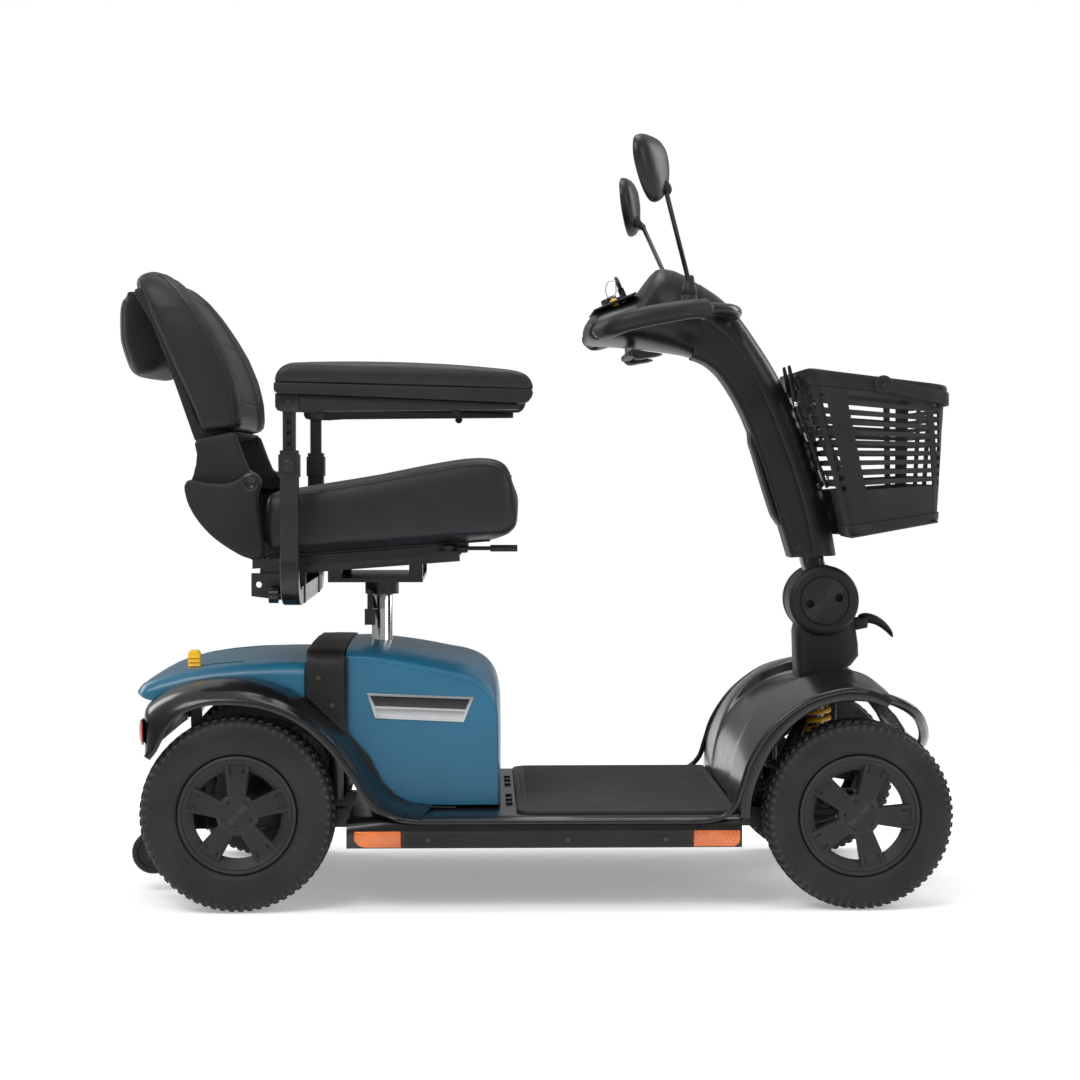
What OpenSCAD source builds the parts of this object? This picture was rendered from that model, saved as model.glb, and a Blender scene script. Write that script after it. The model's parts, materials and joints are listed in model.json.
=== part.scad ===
// Four-wheel mobility scooter, one module per separate piece.
// X points forward, Y to the rider's left, Z up.
// The origin is on the floor under the middle of the machine.

/* [Wheels] */
// Radius of the rear tyres
rear_radius = 140; // [136:1:140]
// Radius of the front tyres
front_radius = 136; // [132:1:136]
// Distance of the rear axle behind the origin
rear_x = 422; // [420:1:424]
// Distance of the front axle ahead of the origin
front_x = 470; // [469:1:471]
// Middle of each tyre, measured sideways from the centre line
track_y = 245; // [244:0.5:246]
// Number of spokes in each rim
spokes = 5; // [5:1:6]
// Radius of the wheel shafts
axle_radius = 10; // [9:0.5:10]

/* [Deck] */
// Height of the top of the foot mat
mat_top = 143; // [142:0.5:144]
// Half the width of the foot deck
deck_half = 285; // [283:1:286]

/* [Seat] */
// Distance of the seat post behind the origin
post_x = 226; // [225:1:227]
// Radius of the chromed seat post
post_radius = 16; // [15:0.5:16]
// Half the width of the seat cushion
seat_half = 222; // [216:1:224]
// Half the width of the backrest
back_half = 203; // [196:1:205]

/* [Tiller] */
// Position of the tilt joint ahead of the origin
tilt_x = 452; // [451:0.5:453]
// Height of the tilt joint
tilt_z = 432; // [431:0.5:433]
// Half the width of the tiller column covers
column_half = 40; // [36:1:42]
// Radius of the handlebar tube
bar_radius = 10; // [9:0.5:10]

/* [Basket] */
// Number of rows of slots in the basket walls
slot_rows = 10; // [8:1:10]
// Distance between rows of slots
slot_pitch = 14.5; // [14:0.1:14.6]

/* [Hidden] */
black = [0.07, 0.07, 0.08];
dark = [0.13, 0.13, 0.14];
blue = [0.16, 0.43, 0.56];
amber = [0.93, 0.42, 0.08];
yellow = [0.96, 0.78, 0.08];
run = 0.05;   // radial gap of a running shaft
fine = 48;    // facets of a true round

// Side profile (X, Z) extruded sideways.
module slab(profile, from, to)
  translate([0, to, 0]) rotate([90, 0, 0]) linear_extrude(to - from) polygon(profile);
// Cylinders along one axis.
module rod_x(y, z, radius, from, to)
  translate([from, y, z]) rotate([0, 90, 0]) cylinder(r = radius, h = to - from, $fn = fine);
module rod_y(x, z, radius, from, to)
  translate([x, from, z]) rotate([-90, 0, 0]) cylinder(r = radius, h = to - from, $fn = fine);
module rod_z(x, y, radius, from, to)
  translate([x, y, from]) cylinder(r = radius, h = to - from, $fn = fine);
// Straight rod between two points.
module rod(from, to, radius) {
  span = to - from;
  translate(from) rotate([0, acos(span[2] / norm(span)), atan2(span[1], span[0])])
    cylinder(r = radius, h = norm(span), $fn = 32);
}
// Box between its lowest and highest corners.
module box(low, high) translate(low) cube(high - low);
module flip() mirror([0, 1, 0]) children();
module both() {
  children();
  flip() children();
}

// ---- Wheels ----
rear_seat = 85.5;    // radius where the tyre meets the rim
rear_width = 80;
front_seat = 87.5;
front_width = 76;
tip_x = -564;        // anti-tip wheel axle
tip_z = 60;
tip_axle = 6;

// Right-hand tyre standing on the floor, with three tread grooves.
module tyre(x, radius, seat, width) color([0.10, 0.10, 0.10]) {
  half = width / 2;
  translate([x, -track_y, radius]) rotate([90, 0, 0]) difference() {
    rotate_extrude($fn = 96) polygon([
      [seat, -half + 9], [seat + 7, -half + 3], [radius - 26, -half], [radius - 12, -half + 3],
      [radius - 4, -half + 10], [radius, -half / 2], [radius, half / 2], [radius - 4, half - 10],
      [radius - 12, half - 3], [radius - 26, half], [seat + 7, half - 3], [seat, half - 9]]);
    for (groove = [-width / 5, 0, width / 5]) translate([0, 0, groove])
      rotate_extrude($fn = 96) polygon([[radius - 5, -1.5], [radius + 5, -1.5],
        [radius + 5, 1.5], [radius - 5, 1.5]]);
  }
}
// Tapered spoke with three shallow recesses in its outer face.
module spoke(seat, half) difference() {
  translate([0, 0, half - 24]) linear_extrude(14)
    polygon([[10, -11], [seat - 5, -17], [seat - 5, 17], [10, 11]]);
  translate([seat - 17, -10, half - 12]) cube([4, 20, 4]);
  for (y = [-11, 8.5]) translate([seat - 25, y, half - 12]) cube([9, 2.5, 4]);
}
// Right-hand rim: hub bored from the inner side, outer face looking along -Y.
module rim(x, z, seat, width, turn) color(dark) {
  half = width / 2;
  translate([x, -track_y, z]) rotate([90, 0, 0]) difference() {
    union() {
      rotate_extrude($fn = 96) polygon([[seat - 9, -half + 9], [seat, -half + 9],
        [seat, half - 9], [seat + 0.01, half - 8.9], [seat - 1, half - 7], [seat - 9, half - 8]]);
      cylinder(r = 24, h = half - 8, $fn = fine);
      translate([0, 0, -half + 6]) cylinder(r = 19, h = half - 5, $fn = fine);
      for (k = [0 : spokes - 1]) rotate(turn + k * 360 / spokes) spoke(seat, half);
    }
    translate([0, 0, -half - 1]) cylinder(r = axle_radius + run, h = width - 14, $fn = fine);
    // ring groove in the hub face
    translate([0, 0, half - 9.2]) difference() {
      cylinder(r = 22.6, h = 3, $fn = fine);
      translate([0, 0, -1]) cylinder(r = 21.6, h = 5, $fn = fine);
    }
  }
}
module rear_tyre_r() tyre(-rear_x, rear_radius, rear_seat, rear_width);
module rear_rim_r() rim(-rear_x, rear_radius, rear_seat, rear_width, turn = 90);
module rear_tyre_l() flip() rear_tyre_r();
module rear_rim_l() flip() rear_rim_r();
module front_tyre_r() tyre(front_x, front_radius, front_seat, front_width);
module front_rim_r() rim(front_x, front_radius, front_seat, front_width, turn = 70);
module front_tyre_l() flip() front_tyre_r();
module front_rim_l() flip() front_rim_r();
// Small anti-tip wheels behind the drive unit.
module anti_tip_wheels() color(dark) both() difference() {
  union() {
    rod_y(tip_x, tip_z, 29, -112, -90);
    rod_y(tip_x, tip_z, 32, -108, -94);
    rod_y(tip_x, tip_z, 12, -115, -87);
  }
  rod_y(tip_x, tip_z, tip_axle + run, -120, -80);
}

// ---- Chassis ----
rail_low = 96;       // underside and top of the long frame rails
rail_high = 124;
rail_y = 78;         // inner face of the rails
tube_radius = 26;    // rear axle tube
release_x = -496;    // freewheel lever pivot
release_z = 290;
release_pin = 5;
swing_x = 330;       // pivot of the front axle arms
swing_z = 130;
swing_pin = 8;
spring_x = 440;      // front shocks
spring_y = 70;
stem_x = 455;        // steering stem
stem_radius = 15;
deck_top = 137;      // top of the deck under the mat
skin_y = deck_half - 5;   // outer face of the deck sides
trim_y = deck_half - 1;   // outer face of the side strips

module anti_tip_frame() {
  both() {
    rod_y(tip_x, tip_z, tip_axle, -122, -83);
    slab([[-574, 50], [-554, 50], [-512, 88], [-501, 92], [-499, 112], [-524, 112], [-572, 70]],
      -83, -77);
  }
  box([-524, -rail_y, 92], [-499, rail_y, 112]);
}
module main_frame() color(black) difference() {
  union() {
    both() box([-500, rail_y, rail_low], [400, 103, rail_high]);
    for (x = [-500, -40, 280]) box([x, -rail_y, rail_low], [x + 20, rail_y, rail_high]);
    box([-252, -rail_y, rail_low], [-200, rail_y, rail_high]);
    // freewheel lever mount
    box([-500, -142, 100], [-480, -103, rail_high]);
    slab([[-500, 120], [-480, 120], [-488, 302], [-504, 302]], -142, -138);
    rod_y(release_x, release_z, release_pin, -160, -138);
    anti_tip_frame();
    // seat post socket
    rod_z(-post_x, 0, 23, rail_high, 340);
    both() slab([[-250, rail_high], [-202, rail_high], [-210, 190], [-242, 190]], 24, 28);
    // steering head and its braces
    both() rod_z(385, 90, 12, rail_high, 200);
    both() rod([385, 90, 196], [437, 14, 276], 10);
    rod_z(stem_x, 0, 22, 200, 306);
    both() box([318, 70, 110], [344, 78.5, 144]);
  }
  rod_z(-post_x, 0, post_radius + run, 140, 350);
  rod_z(stem_x, 0, stem_radius + run, 190, 310);
  both() rod_y(swing_x, swing_z, swing_pin + run, 60, 77.5);
  both() rod_y(-rear_x, rear_radius, tube_radius, 59, 197);
}
module deck_tray() difference() {
  union() {
    slab([[-205, deck_top], [-205, 131], [299, 131], [299, deck_top]],
      -deck_half + 8, deck_half - 8);
    both() slab([[-268, 127], [-262, 92], [294, 92], [299, 100], [299, deck_top],
      [-230, deck_top]], deck_half - 14, skin_y);
    box([-205, -deck_half + 14, 92], [300, -110, 95]);
    box([-205, 110, 92], [300, deck_half - 14, 95]);
  }
  rod_z(-post_x, 0, 40, 80, 200);
}
// Strip with three long grooves on each side of the deck.
module side_strip() both() difference() {
  slab([[-187, 116], [-187, 93], [229, 93], [229, 116]], skin_y, trim_y);
  for (z = [98, 104, 110]) box([-190, deck_half - 1.8, z], [240, deck_half + 1, z + 1.5]);
}
module floor_deck() color([0.09, 0.09, 0.10]) {
  side_strip();
  deck_tray();
}
module deck_mat() color([0.16, 0.16, 0.16]) difference() {
  box([-22, -258, deck_top], [290, 258, mat_top]);
  for (x = [0 : 10 : 280]) box([x, -245, mat_top - 1], [x + 3, 245, mat_top + 1]);
}
module side_reflectors() color(amber) both() {
  slab([[-255, 117], [-249, 96], [-240, 93], [-188, 93], [-188, 117]], skin_y, deck_half);
  slab([[230, 117], [230, 93], [290, 93], [297, 98], [297, 117]], skin_y, deck_half);
}

// ---- Bodywork ----
// Top edge of the rear arches (X, Z), from the back forwards.
rear_arch = [[-556, 235], [-559, 288], [-500, 324], [-419, 330], [-340, 312], [-281, 250],
  [-238, 176], [-205, 152], [-178, 143], [-178, 138]];

// Gloss arch over each rear wheel, joined across the back.
module rear_fender() color(black) {
  both() slab(concat(rear_arch, [[-207, 147], [-242, 173], [-285, 247], [-342, 307],
    [-419, 325], [-498, 319], [-554, 285], [-551, 235]]), 203, deck_half - 4);
  both() slab(concat(rear_arch, [[-232, 138], [-249, 172], [-271, 208], [-299, 244],
    [-331, 272], [-367, 290], [-415, 299], [-467, 299], [-499, 288], [-521, 262],
    [-531, 237], [-545, 219]]), skin_y, trim_y);
  slab([[-559, 288], [-556, 235], [-551, 235], [-554, 288]], -204, 204);
}
module rear_cover() color(blue) difference() {
  slab([[-578, 306], [-570, 318], [-545, 327], [-494, 341], [-423, 349], [-330, 351],
    [-330, 332], [-500, 330], [-553, 300], [-570, 298]], -202, 202);
  both() box([-520, 138, 290], [-400, 162, 360]);
}
module battery_shroud() color(blue) difference() {
  slab([[-271, 367], [-244, 372], [-173, 366], [-100, 356], [-67, 345], [-50, 322], [-45, 300],
    [-44, 145], [-60, 141], [-162, 143], [-197, 157], [-221, 179], [-239, 214], [-271, 244]],
    -192, 192);
  slab([[-272, 362], [-244, 367], [-173, 361], [-102, 351], [-71, 341], [-55, 320], [-50, 298],
    [-49, 130], [-162, 130], [-201, 160], [-226, 182], [-244, 217], [-272, 249]], -187, 187);
  rod_z(-post_x, 0, 30, 300, 400);
}
module shroud_band() color(dark) difference() {
  slab([[-329, 372], [-322, 377], [-280, 377], [-272, 372], [-272, 246], [-281, 252],
    [-329, 302]], -208, 208);
  slab([[-330, 367], [-318, 371], [-282, 371], [-271, 367], [-271, 240], [-331, 240]],
    -203, 203);
}
// Plain plates on the sides of the shroud.
module badge_plates() color([0.75, 0.76, 0.78]) both()
  slab([[-241, 306], [-84, 300], [-99, 263], [-229, 269]], 192, 194);
module tail_lights() color([0.75, 0.08, 0.10]) both()
  slab([[-558.3, 272], [-562, 272], [-563.5, 242], [-556.6, 242]], 208, 262);

front_half = 104;    // half width of the middle of the front cowl
// Centres of the bent bar at each front corner, outer end first (X, Y, Z).
front_hoop = [[512, 268, 302], [545, 250, 291], [573, 187, 263], [592, front_half, 218]];

// Curved shell between the front wheels.
module front_cowl() difference() {
  slab([[300, 137], [306, 200], [326, 248], [362, 282], [398, 299], [440, 306], [480, 305],
    [526, 285], [560, 254], [578, 226], [572, 224], [554, 249], [522, 279], [478, 299],
    [440, 300], [400, 293], [366, 277], [332, 244], [312, 198], [306, 137]],
    -front_half, front_half);
  rod_z(stem_x, 0, 27, 290, 350);
}
// Front cowl with its raised cheeks, arched wheel covers and open front hoops.
module front_fender() color(black) {
  front_cowl();
  both() {
    slab([[326, 245], [332, 262], [364, 296], [395, 318], [440, 331], [472, 333], [500, 326],
      [526, 300], [560, 256], [556, 250], [522, 285], [478, 300], [440, 300], [400, 293],
      [366, 277], [334, 246]], 70, front_half);
    slab([[300, 137], [306, 190], [316, 218], [336, 250], [356, 272], [394, 302], [434, 315],
      [458, 319], [486, 315], [515, 303], [511, 296], [482, 307], [458, 309], [436, 306],
      [402, 294], [364, 265], [345, 243], [326, 213], [316, 186], [310, 137]], front_half, 281);
    for (k = [0 : 2]) hull() {
      translate(front_hoop[k]) sphere(8, $fn = 16);
      translate(front_hoop[k + 1]) sphere(8, $fn = 16);
    }
  }
  box([586, -front_half, 210], [598, front_half, 226]);
}
module battery_packs() color([0.25, 0.25, 0.27]) both() difference() {
  box([-196, 32, 140], [-62, 176, 290]);
  box([-150, 80, 284], [-110, 130, 300]);
}
module drive_unit() color([0.45, 0.46, 0.48]) {
  both() {
    rod_y(-rear_x, rear_radius, axle_radius, 60, 266);
    rod_y(-rear_x, rear_radius, tube_radius, 60, 196);
  }
  rod_y(-rear_x, rear_radius, 56, -59, 60);
  rod_y(-350, 190, 42, -55, 75);
  box([-440, -50, 124], [-330, 50, 160]);
}
module front_shocks() color(black) difference() {
  union() {
    both() {
      rod_z(spring_x, spring_y, 11, 216, 284);
      rod_z(spring_x, spring_y, 20, 284, 288);
    }
    box([428, -95, 284], [470, 95, 290]);
  }
  both() rod_z(spring_x, spring_y, 8.8, 200, 280);
  rod_z(stem_x, 0, 22, 270, 300);
}
// Stacked rings stand for the coils.
module coil_springs() color(yellow) both() for (k = [0 : 8])
  translate([spring_x, spring_y, 176 + k * 12.9])
    rotate_extrude($fn = 40) translate([16, 0]) circle(3.4, $fn = 16);
module body_screws() color([0.5, 0.5, 0.52]) both() {
  for (y = [60, 110, 150]) rod_z(-32, y, 5, deck_top, 140);
  for (spot = [[-290, 290], [-310, 330]]) rod_y(spot[0], spot[1], 4, 208, 210);
  for (x = [-150, 50, 190]) rod_y(x, 104.5, 3.5, trim_y, deck_half + 0.5);
}
module freewheel_lever() color(yellow) difference() {
  union() {
    slab([[-508, 367], [-490, 367], [-487, 290], [-505, 290]], -156, -144);
    rod_y(release_x, release_z, 12, -156, -144);
  }
  rod_y(release_x, release_z, release_pin + run, -165, -140);
  for (z = [340 : 7 : 361]) box([-512, -160, z], [-506.5, -140, z + 2.5]);
}

// ---- Front suspension and steering ----
kingpin_y = 190;
kingpin_radius = 6;
arm_reach = 62.6;    // from a steering axis back to the tie rod pins
tie_x = front_x - arm_reach;
tie_z = 108;
tie_pin = 3;
joint_radius = 54;   // drum of the tilt joint
tilt_pin = 8;
lever_x = 518;       // tilt lever pivot
lever_z = 398;
lever_pin = 3;

module front_axle() color(black) {
  both() {
    rod_y(swing_x, swing_z, 14, 52, 66);
    slab([[swing_x, 117], [swing_x, 143], [455, 150], [455, 124]], 52, 66);
    rod_y(swing_x, swing_z, swing_pin, 66, 77);
    // spring seat
    rod_z(spring_x, spring_y, 22, 164, 170);
    rod_z(spring_x, spring_y, 4, 160, 222);
    box([425, 50, 148], [455, 90, 164.5]);
    // fork round the knuckle
    for (z = [116, 150]) {
      box([front_x - 16, 150, z], [front_x + 16, kingpin_y, z + 8]);
      rod_z(front_x, kingpin_y, 16, z, z + 8);
    }
    box([front_x - 16, 140, 116], [front_x + 10, 152, 158]);
    rod_z(front_x, kingpin_y, kingpin_radius, 110, 162);
  }
  box([444, -152, 122], [468, 152, 150]);
}
// Steering knuckle: kingpin sleeve, stub axle and slotted steering arm.
module knuckle_r() color(dark) difference() {
  union() {
    rod_z(front_x, -kingpin_y, 14, 124.2, 149.8);
    rod_y(front_x, front_radius, 12, -206, -kingpin_y);
    rod_y(front_x, front_radius, axle_radius, -266, -kingpin_y);
    box([front_x - 88, -kingpin_y - 9, 126], [front_x, -kingpin_y + 9, 134]);
  }
  rod_z(front_x, -kingpin_y, kingpin_radius + run, 110, 170);
  box([front_x - 82, -kingpin_y - 6, 120], [front_x - 56, -kingpin_y + 6, 140]);
}
module knuckle_l() flip() knuckle_r();
// Upright pins run in the slots of the steering arms and the drop arm.
module tie_rod() color([0.5, 0.5, 0.52]) {
  rod([tie_x, -kingpin_y, tie_z], [tie_x, kingpin_y, tie_z], 6);
  both() rod_z(tie_x, kingpin_y, tie_pin, 104, 140);
  box([386, -7, 102], [front_x - 62, 7, 114]);
  rod_z(stem_x - arm_reach, 0, tie_pin, 106, 190);
}
module steering_stem() color(black) difference() {
  union() {
    rod_z(stem_x, 0, stem_radius, 172, 330);
    // drop arm
    box([stem_x - 90, -10, 172], [stem_x, 10, 182]);
    difference() {
      slab([[408, 316], [411, 384], [430, 392], [470, 392], [503, 404], [508, 352], [474, 330],
        [474, 336], [440, 336], [440, 316]], -34, 34);
      both() rod_y(tilt_x, tilt_z, joint_radius + 0.8, 26, 50);
    }
    rod_y(tilt_x, tilt_z, joint_radius, -26, 26);
    rod_y(tilt_x, tilt_z, tilt_pin, -45, 45);
    both() slab([[496, 402], [500, 384], [524, 389], [524, 405]], 16, 22);
    rod_y(lever_x, lever_z, lever_pin, -22, 22);
  }
  // room for the lower end of the tiller tube
  slab([[tilt_x - 60, tilt_z + 10], [tilt_x + 60, tilt_z + 10], [tilt_x + 60, tilt_z + 70],
    [tilt_x - 60, tilt_z + 70]], -60, 60);
  rod_z(stem_x, 0, 10, 160, 300);
  box([stem_x - 84, -6, 160], [stem_x - 57, 6, 190]);
}
module tilt_lever() color(black) difference() {
  slab([[512, 406], [526, 411], [546, 404], [557, 394], [563, 373], [552, 380], [536, 390],
    [520, 388], [511, 388]], -14, 14);
  rod_y(lever_x, lever_z, lever_pin + run, -20, 20);
}

// ---- Tiller ----
// Seam between the column covers (X, Z), going up; the rear cover keeps 1 mm off it.
seam = [[422, 574], [399, 647], [376, 705], [353, 758], [329, 803]];
rear_seam = [for (k = [4 : -1 : 0]) seam[k] - [1, 1]];
cover_wall = 4;

module tiller_frame() color(black) {
  difference() {
    union() {
      both() rod_y(tilt_x, tilt_z, joint_radius, 26.5, 46);
      both() rod_y(tilt_x, tilt_z, 36, 46, 47.5);
      both() slab([[tilt_x - 22, tilt_z + 20], [tilt_x + 22, tilt_z + 20], [448, 505],
        [420, 505]], 26.5, 34);
      slab([[416, 494], [452, 494], [450, 520], [409, 520]], -34, 34);
    }
    rod_y(tilt_x, tilt_z, tilt_pin + run, -60, 60);
    both() for (s = [-1, 1]) rod_y(tilt_x + s * 22, tilt_z + s * 4.5, 6, 40, 60);
  }
  slab([[414, 520], [444, 520], [405, 640], [350, 760], [318, 800], [296, 790], [330, 735],
    [372, 640]], -14, 14);
  // plate and studs that carry the basket
  slab([[405, 742], [410, 744], [461, 606], [456, 604]], -36, 36);
  both() {
    rod([392, 8, 722], [416, 8, 728], 4);
    rod([420, 8, 636], [450, 8, 644], 4);
  }
}
module tiller_front_cover() color(black) difference() {
  slab(concat([[262, 918], [269, 912], [317, 877], [351, 829], [392, 760], [420, 690],
    [453, 600], [472, 500], [437, 500]], seam, [[306, 831], [262, 866]]),
    -column_half, column_half);
  slab(concat([[247, 920], [268, 904], [312, 872], [346, 826], [387, 757], [414, 690],
    [448, 600], [466, 490], [437, 490]], seam, [[306, 831], [240, 880]]),
    -column_half + cover_wall, column_half - cover_wall);
  // holes for the basket studs
  both() {
    rod([388, 8, 721], [420, 8, 729], 6);
    rod([410, 8, 633.3], [455, 8, 645.3], 6);
  }
}
module tiller_rear_cover() color(black) difference() {
  slab(concat([[262, 864], [306, 830]], rear_seam, [[436, 500], [403, 500], [388, 548],
    [371, 600], [351, 655], [338, 692], [320, 731], [297, 771], [275, 795], [262, 799]]),
    -column_half, column_half);
  slab(concat([[240, 862], [306, 829]], rear_seam, [[438.2, 490], [408, 490], [393, 548],
    [376, 600], [356, 655], [343, 692], [325, 731], [301, 774], [278, 800], [240, 810]]),
    -column_half + cover_wall, column_half - cover_wall);
}

// ---- Console ----
// Places on the sloping panel: distance up the slope, then Y.
horn_spot = [0, -40];
key_spot = [20, 0];
dial_spot = [0, 40];
key_radius = 6;
horn_radius = 6;
dial_radius = 8;
mirror_x = 236;      // mirror foot
mirror_y = 130;
mirror_pin = 5;
throttle_x = 155;    // throttle spindle
throttle_radius = 7;
// Rounded corners of the console's left half: X, Y, Z, radius.
console_corners = [[104, 96, 850, 16], [100, 100, 836, 12], [226, 74, 850, 18],
  [196, 60, 918, 20], [236, 36, 900, 22], [240, 50, 828, 18]];

module on_panel(spot)
  translate([130, spot[1], 884]) rotate([0, -23, 0]) translate([spot[0], 0, 0]) children();
module console() color(black) difference() {
  union() {
    hull() both() for (c = console_corners)
      translate([c[0], c[1], c[2]]) sphere(c[3], $fn = 32);
    both() {
      rod_y(236, 880, 12, 80, 140);
      rod_y(100, 838, 12, 96, 116);
    }
  }
  slab([[80, 856], [98, 870], [114, 877], [166, 899], [196, 950], [60, 950]], -84, 84);
  rod_z(throttle_x, 0, throttle_radius + run, 790, 840);
  for (spot = [horn_spot, key_spot, dial_spot])
    on_panel(spot) translate([0, 0, -16]) cylinder(r = 11, h = 20, $fn = fine);
  both() rod_z(mirror_x, mirror_y, mirror_pin + run, 876, 900);
}
module panel_hole(spot, radius)
  on_panel(spot) cylinder(r = radius + run, h = 40, center = true, $fn = fine);
module console_panel() color([0.10, 0.10, 0.11]) difference() {
  slab([[92, 866.5], [98, 871], [114, 878], [161, 898.5], [159, 903], [112, 882], [95, 875]],
    -78, 78);
  panel_hole(horn_spot, horn_radius);
  panel_hole(key_spot, key_radius);
  panel_hole(dial_spot, dial_radius);
}
module key() color([0.6, 0.6, 0.62]) on_panel(key_spot) {
  translate([0, 0, -8]) cylinder(r = key_radius, h = 14, $fn = fine);
  translate([-10, -1.5, 8]) cube([20, 3, 18]);
  translate([-2, -1.5, 5]) cube([4, 3, 5]);
}
module horn_button() color(amber) on_panel(horn_spot)
  translate([0, 0, -8]) cylinder(r = horn_radius, h = 15, $fn = fine);
module speed_dial() color(dark) on_panel(dial_spot) difference() {
  union() {
    translate([0, 0, -8]) cylinder(r = dial_radius, h = 14, $fn = fine);
    translate([0, 0, 6.9]) cylinder(r = 13, h = 9, $fn = fine);
  }
  translate([6, -0.8, 13.5]) cube([9, 1.6, 4]);
}
module throttle_lever() color(black) {
  rod_z(throttle_x, 0, throttle_radius, 806, 836);
  box([147, -100, 804], [163, 100, 811]);
  both() slab([[150, 811], [200, 805], [164, 797], [152, 800]], 78, 112);
}

// ---- Handlebar and mirrors ----
facets = 16;         // facets round a bent tube
// Centre line of the left half of the handlebar, starting at the console's rear boss.
bar_path = [[100.5, 119, 838], [110, 163, 838], [128, 196, 845], [167, 204, 855],
  [230, 202, 866], [253, 192, 867], [290, 158, 867], [306, 120, 866], [304, 80, 866],
  [293, 44, 866]];

function unit(v) = v / norm(v);
function heading(path, i) = unit(path[min(i + 1, len(path) - 1)] - path[max(i - 1, 0)]);
// Circle of points square to the path at its point i.
function ring(path, i, radius) =
  let (along = heading(path, i), side = unit(cross(along, [0, 0, 1])), up = cross(side, along))
  [for (k = [0 : facets - 1])
    path[i] + radius * (side * cos(k * 360 / facets) + up * sin(k * 360 / facets))];
function rings(path, radius) = [for (i = [0 : len(path) - 1]) each ring(path, i, radius)];
// Bent round tube along a path, hollow when bore is above zero.
module pipe(path, radius, bore = 0) {
  hollow = bore > 0;
  inner = hollow ? rings(path, bore) : [];
  size = len(path) * facets;   // index of the first inner point
  last = size - facets;        // index of the last outer ring
  walls = [for (i = [0 : len(path) - 2], k = [0 : facets - 1])
    let (a = i * facets + k, b = i * facets + (k + 1) % facets) [a, b, b + facets, a + facets]];
  lining = hollow ? [for (face = walls) [for (i = [3 : -1 : 0]) face[i] + size]] : [];
  caps = hollow
    ? [for (k = [0 : facets - 1]) let (next = (k + 1) % facets) each [
        [k, k + size, next + size, next],
        [last + k, last + next, last + next + size, last + k + size]]]
    : [[for (k = [facets - 1 : -1 : 0]) k], [for (k = [0 : facets - 1]) last + k]];
  polyhedron(concat(rings(path, radius), inner), concat(walls, lining, caps), convexity = 6);
}
module handlebar() color(black) both() pipe(bar_path, bar_radius);
module hand_grips() color(dark) both()
  pipe([for (i = [1 : 5]) bar_path[i]], 14.5, bar_radius + 0.6);

head_half = 54;      // half width of a mirror head
head_thick = 14;
head_edge = 301.3;   // how far out the head reaches, whatever its turn
// Outline of the head: centre across, centre up, corner radius.
head_corners = [[-30, 22, 24], [32, 16, 22], [-14, -26, 18], [22, -22, 20]];

// Mirror on a thin stalk; its foot turns in the console's boss.
module side_mirror(turn) color(black) {
  rod_z(mirror_x, -mirror_y, mirror_pin, 878, 893);
  rod_z(mirror_x, -mirror_y, 9, 892.2, 912);
  rod([mirror_x, -mirror_y, 908], [192, -238, 1032], 4);
  rod([192, -238, 1032], [173, -243, 1042], 7);
  translate([171, head_half * cos(turn) + head_thick / 2 * sin(abs(turn)) - head_edge, 1064])
    rotate([0, 0, turn]) rotate([90, 0, 90]) translate([0, 0, -head_thick / 2])
      linear_extrude(head_thick) hull()
        for (c = head_corners) translate([c[0], c[1]]) circle(c[2], $fn = 32);
}
module mirror_r() side_mirror(-27);
module mirror_l() flip() side_mirror(13);

// ---- Basket ----
handle_x = 518;      // handle pivot
handle_z = 758;
handle_pin = 5;
// Space for the tiller column at the back (X, Z).
column_gap = [[380, 800], [400, 800], [430, 720], [468, 612], [486, 520], [380, 520]];

// One row of slots through the side walls and the front wall; rows shorten downwards.
module slot_row(row)
  translate([452 + 3.5 * row, -200, 739 - (slot_pitch + 0.3) * row])
    rotate([0, 6.5 - 0.3 * row, 0]) {
      cube([122 - 2.7 * row, 400, 7.5]);
      translate([-30, 0, 0]) cube([17, 400, 7.5]);
      translate([148 - 2 * row, 80, 0])
        for (y = [0 : 42 : 168]) translate([0, y, 0]) cube([40, 34, 7.5]);
    }
// Tapering slotted shell with a channel at the back that clears the column.
module basket() color(black) {
  difference() {
    hull() {
      slab([[409, 782], [611, 758], [611, 755], [409, 779]], -172, 172);
      slab([[452, 545], [462, 535], [482, 531], [598, 545], [608, 556], [609, 565]], -152, 152);
    }
    hull() {
      slab([[413, 786], [607, 762], [607, 755], [413, 779]], -168, 168);
      slab([[457, 548], [465, 540], [482, 536], [596, 550], [604, 558], [605, 565]], -148, 148);
    }
    slab(column_gap, -52, 52);
    for (row = [0 : slot_rows - 1]) slot_row(row);
  }
  difference() {
    slab([[404, 796], [425, 796], [434, 712], [472, 612], [490, 538], [486, 535], [467, 611],
      [429, 711]], -56, 56);
    slab(column_gap, -52, 52);
    slab([[400, 830], [620, 830], [620, 757], [611, 757], [409, 781.5], [400, 783]], -60, 60);
  }
  both() rod_y(handle_x, handle_z, handle_pin, 171, 184);
}
module basket_handle() color(black) {
  difference() {
    slab([[508, 768], [619, 757], [619, 738], [508, 749]], -183, 183);
    slab([[490, 790], [614.5, 770], [614.5, 720], [490, 740]], -178, 178);
    both() rod_y(handle_x, handle_z, handle_pin + run, 170, 190);
  }
  both() difference() {
    rod_y(handle_x, handle_z, 13, 178, 183);
    rod_y(handle_x, handle_z, handle_pin + run, 170, 190);
  }
}

// ---- Seat ----
slide_x = -122;      // slide lever pivot
slide_y = -166;
slide_pin = 4;
hinge_x = -405;      // backrest hinge
hinge_z = 614;
hinge_pin = 6;
// Back of the seat pan (X, Z), from the top down.
pan_back = [[-500, 613], [-497, 588], [-485, 564], [-464, 539], [-436, 518]];

// Height of the sloping plane on which the seat slides.
function slide_z(x) = 487 + (x + 400) * 0.075;
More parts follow.
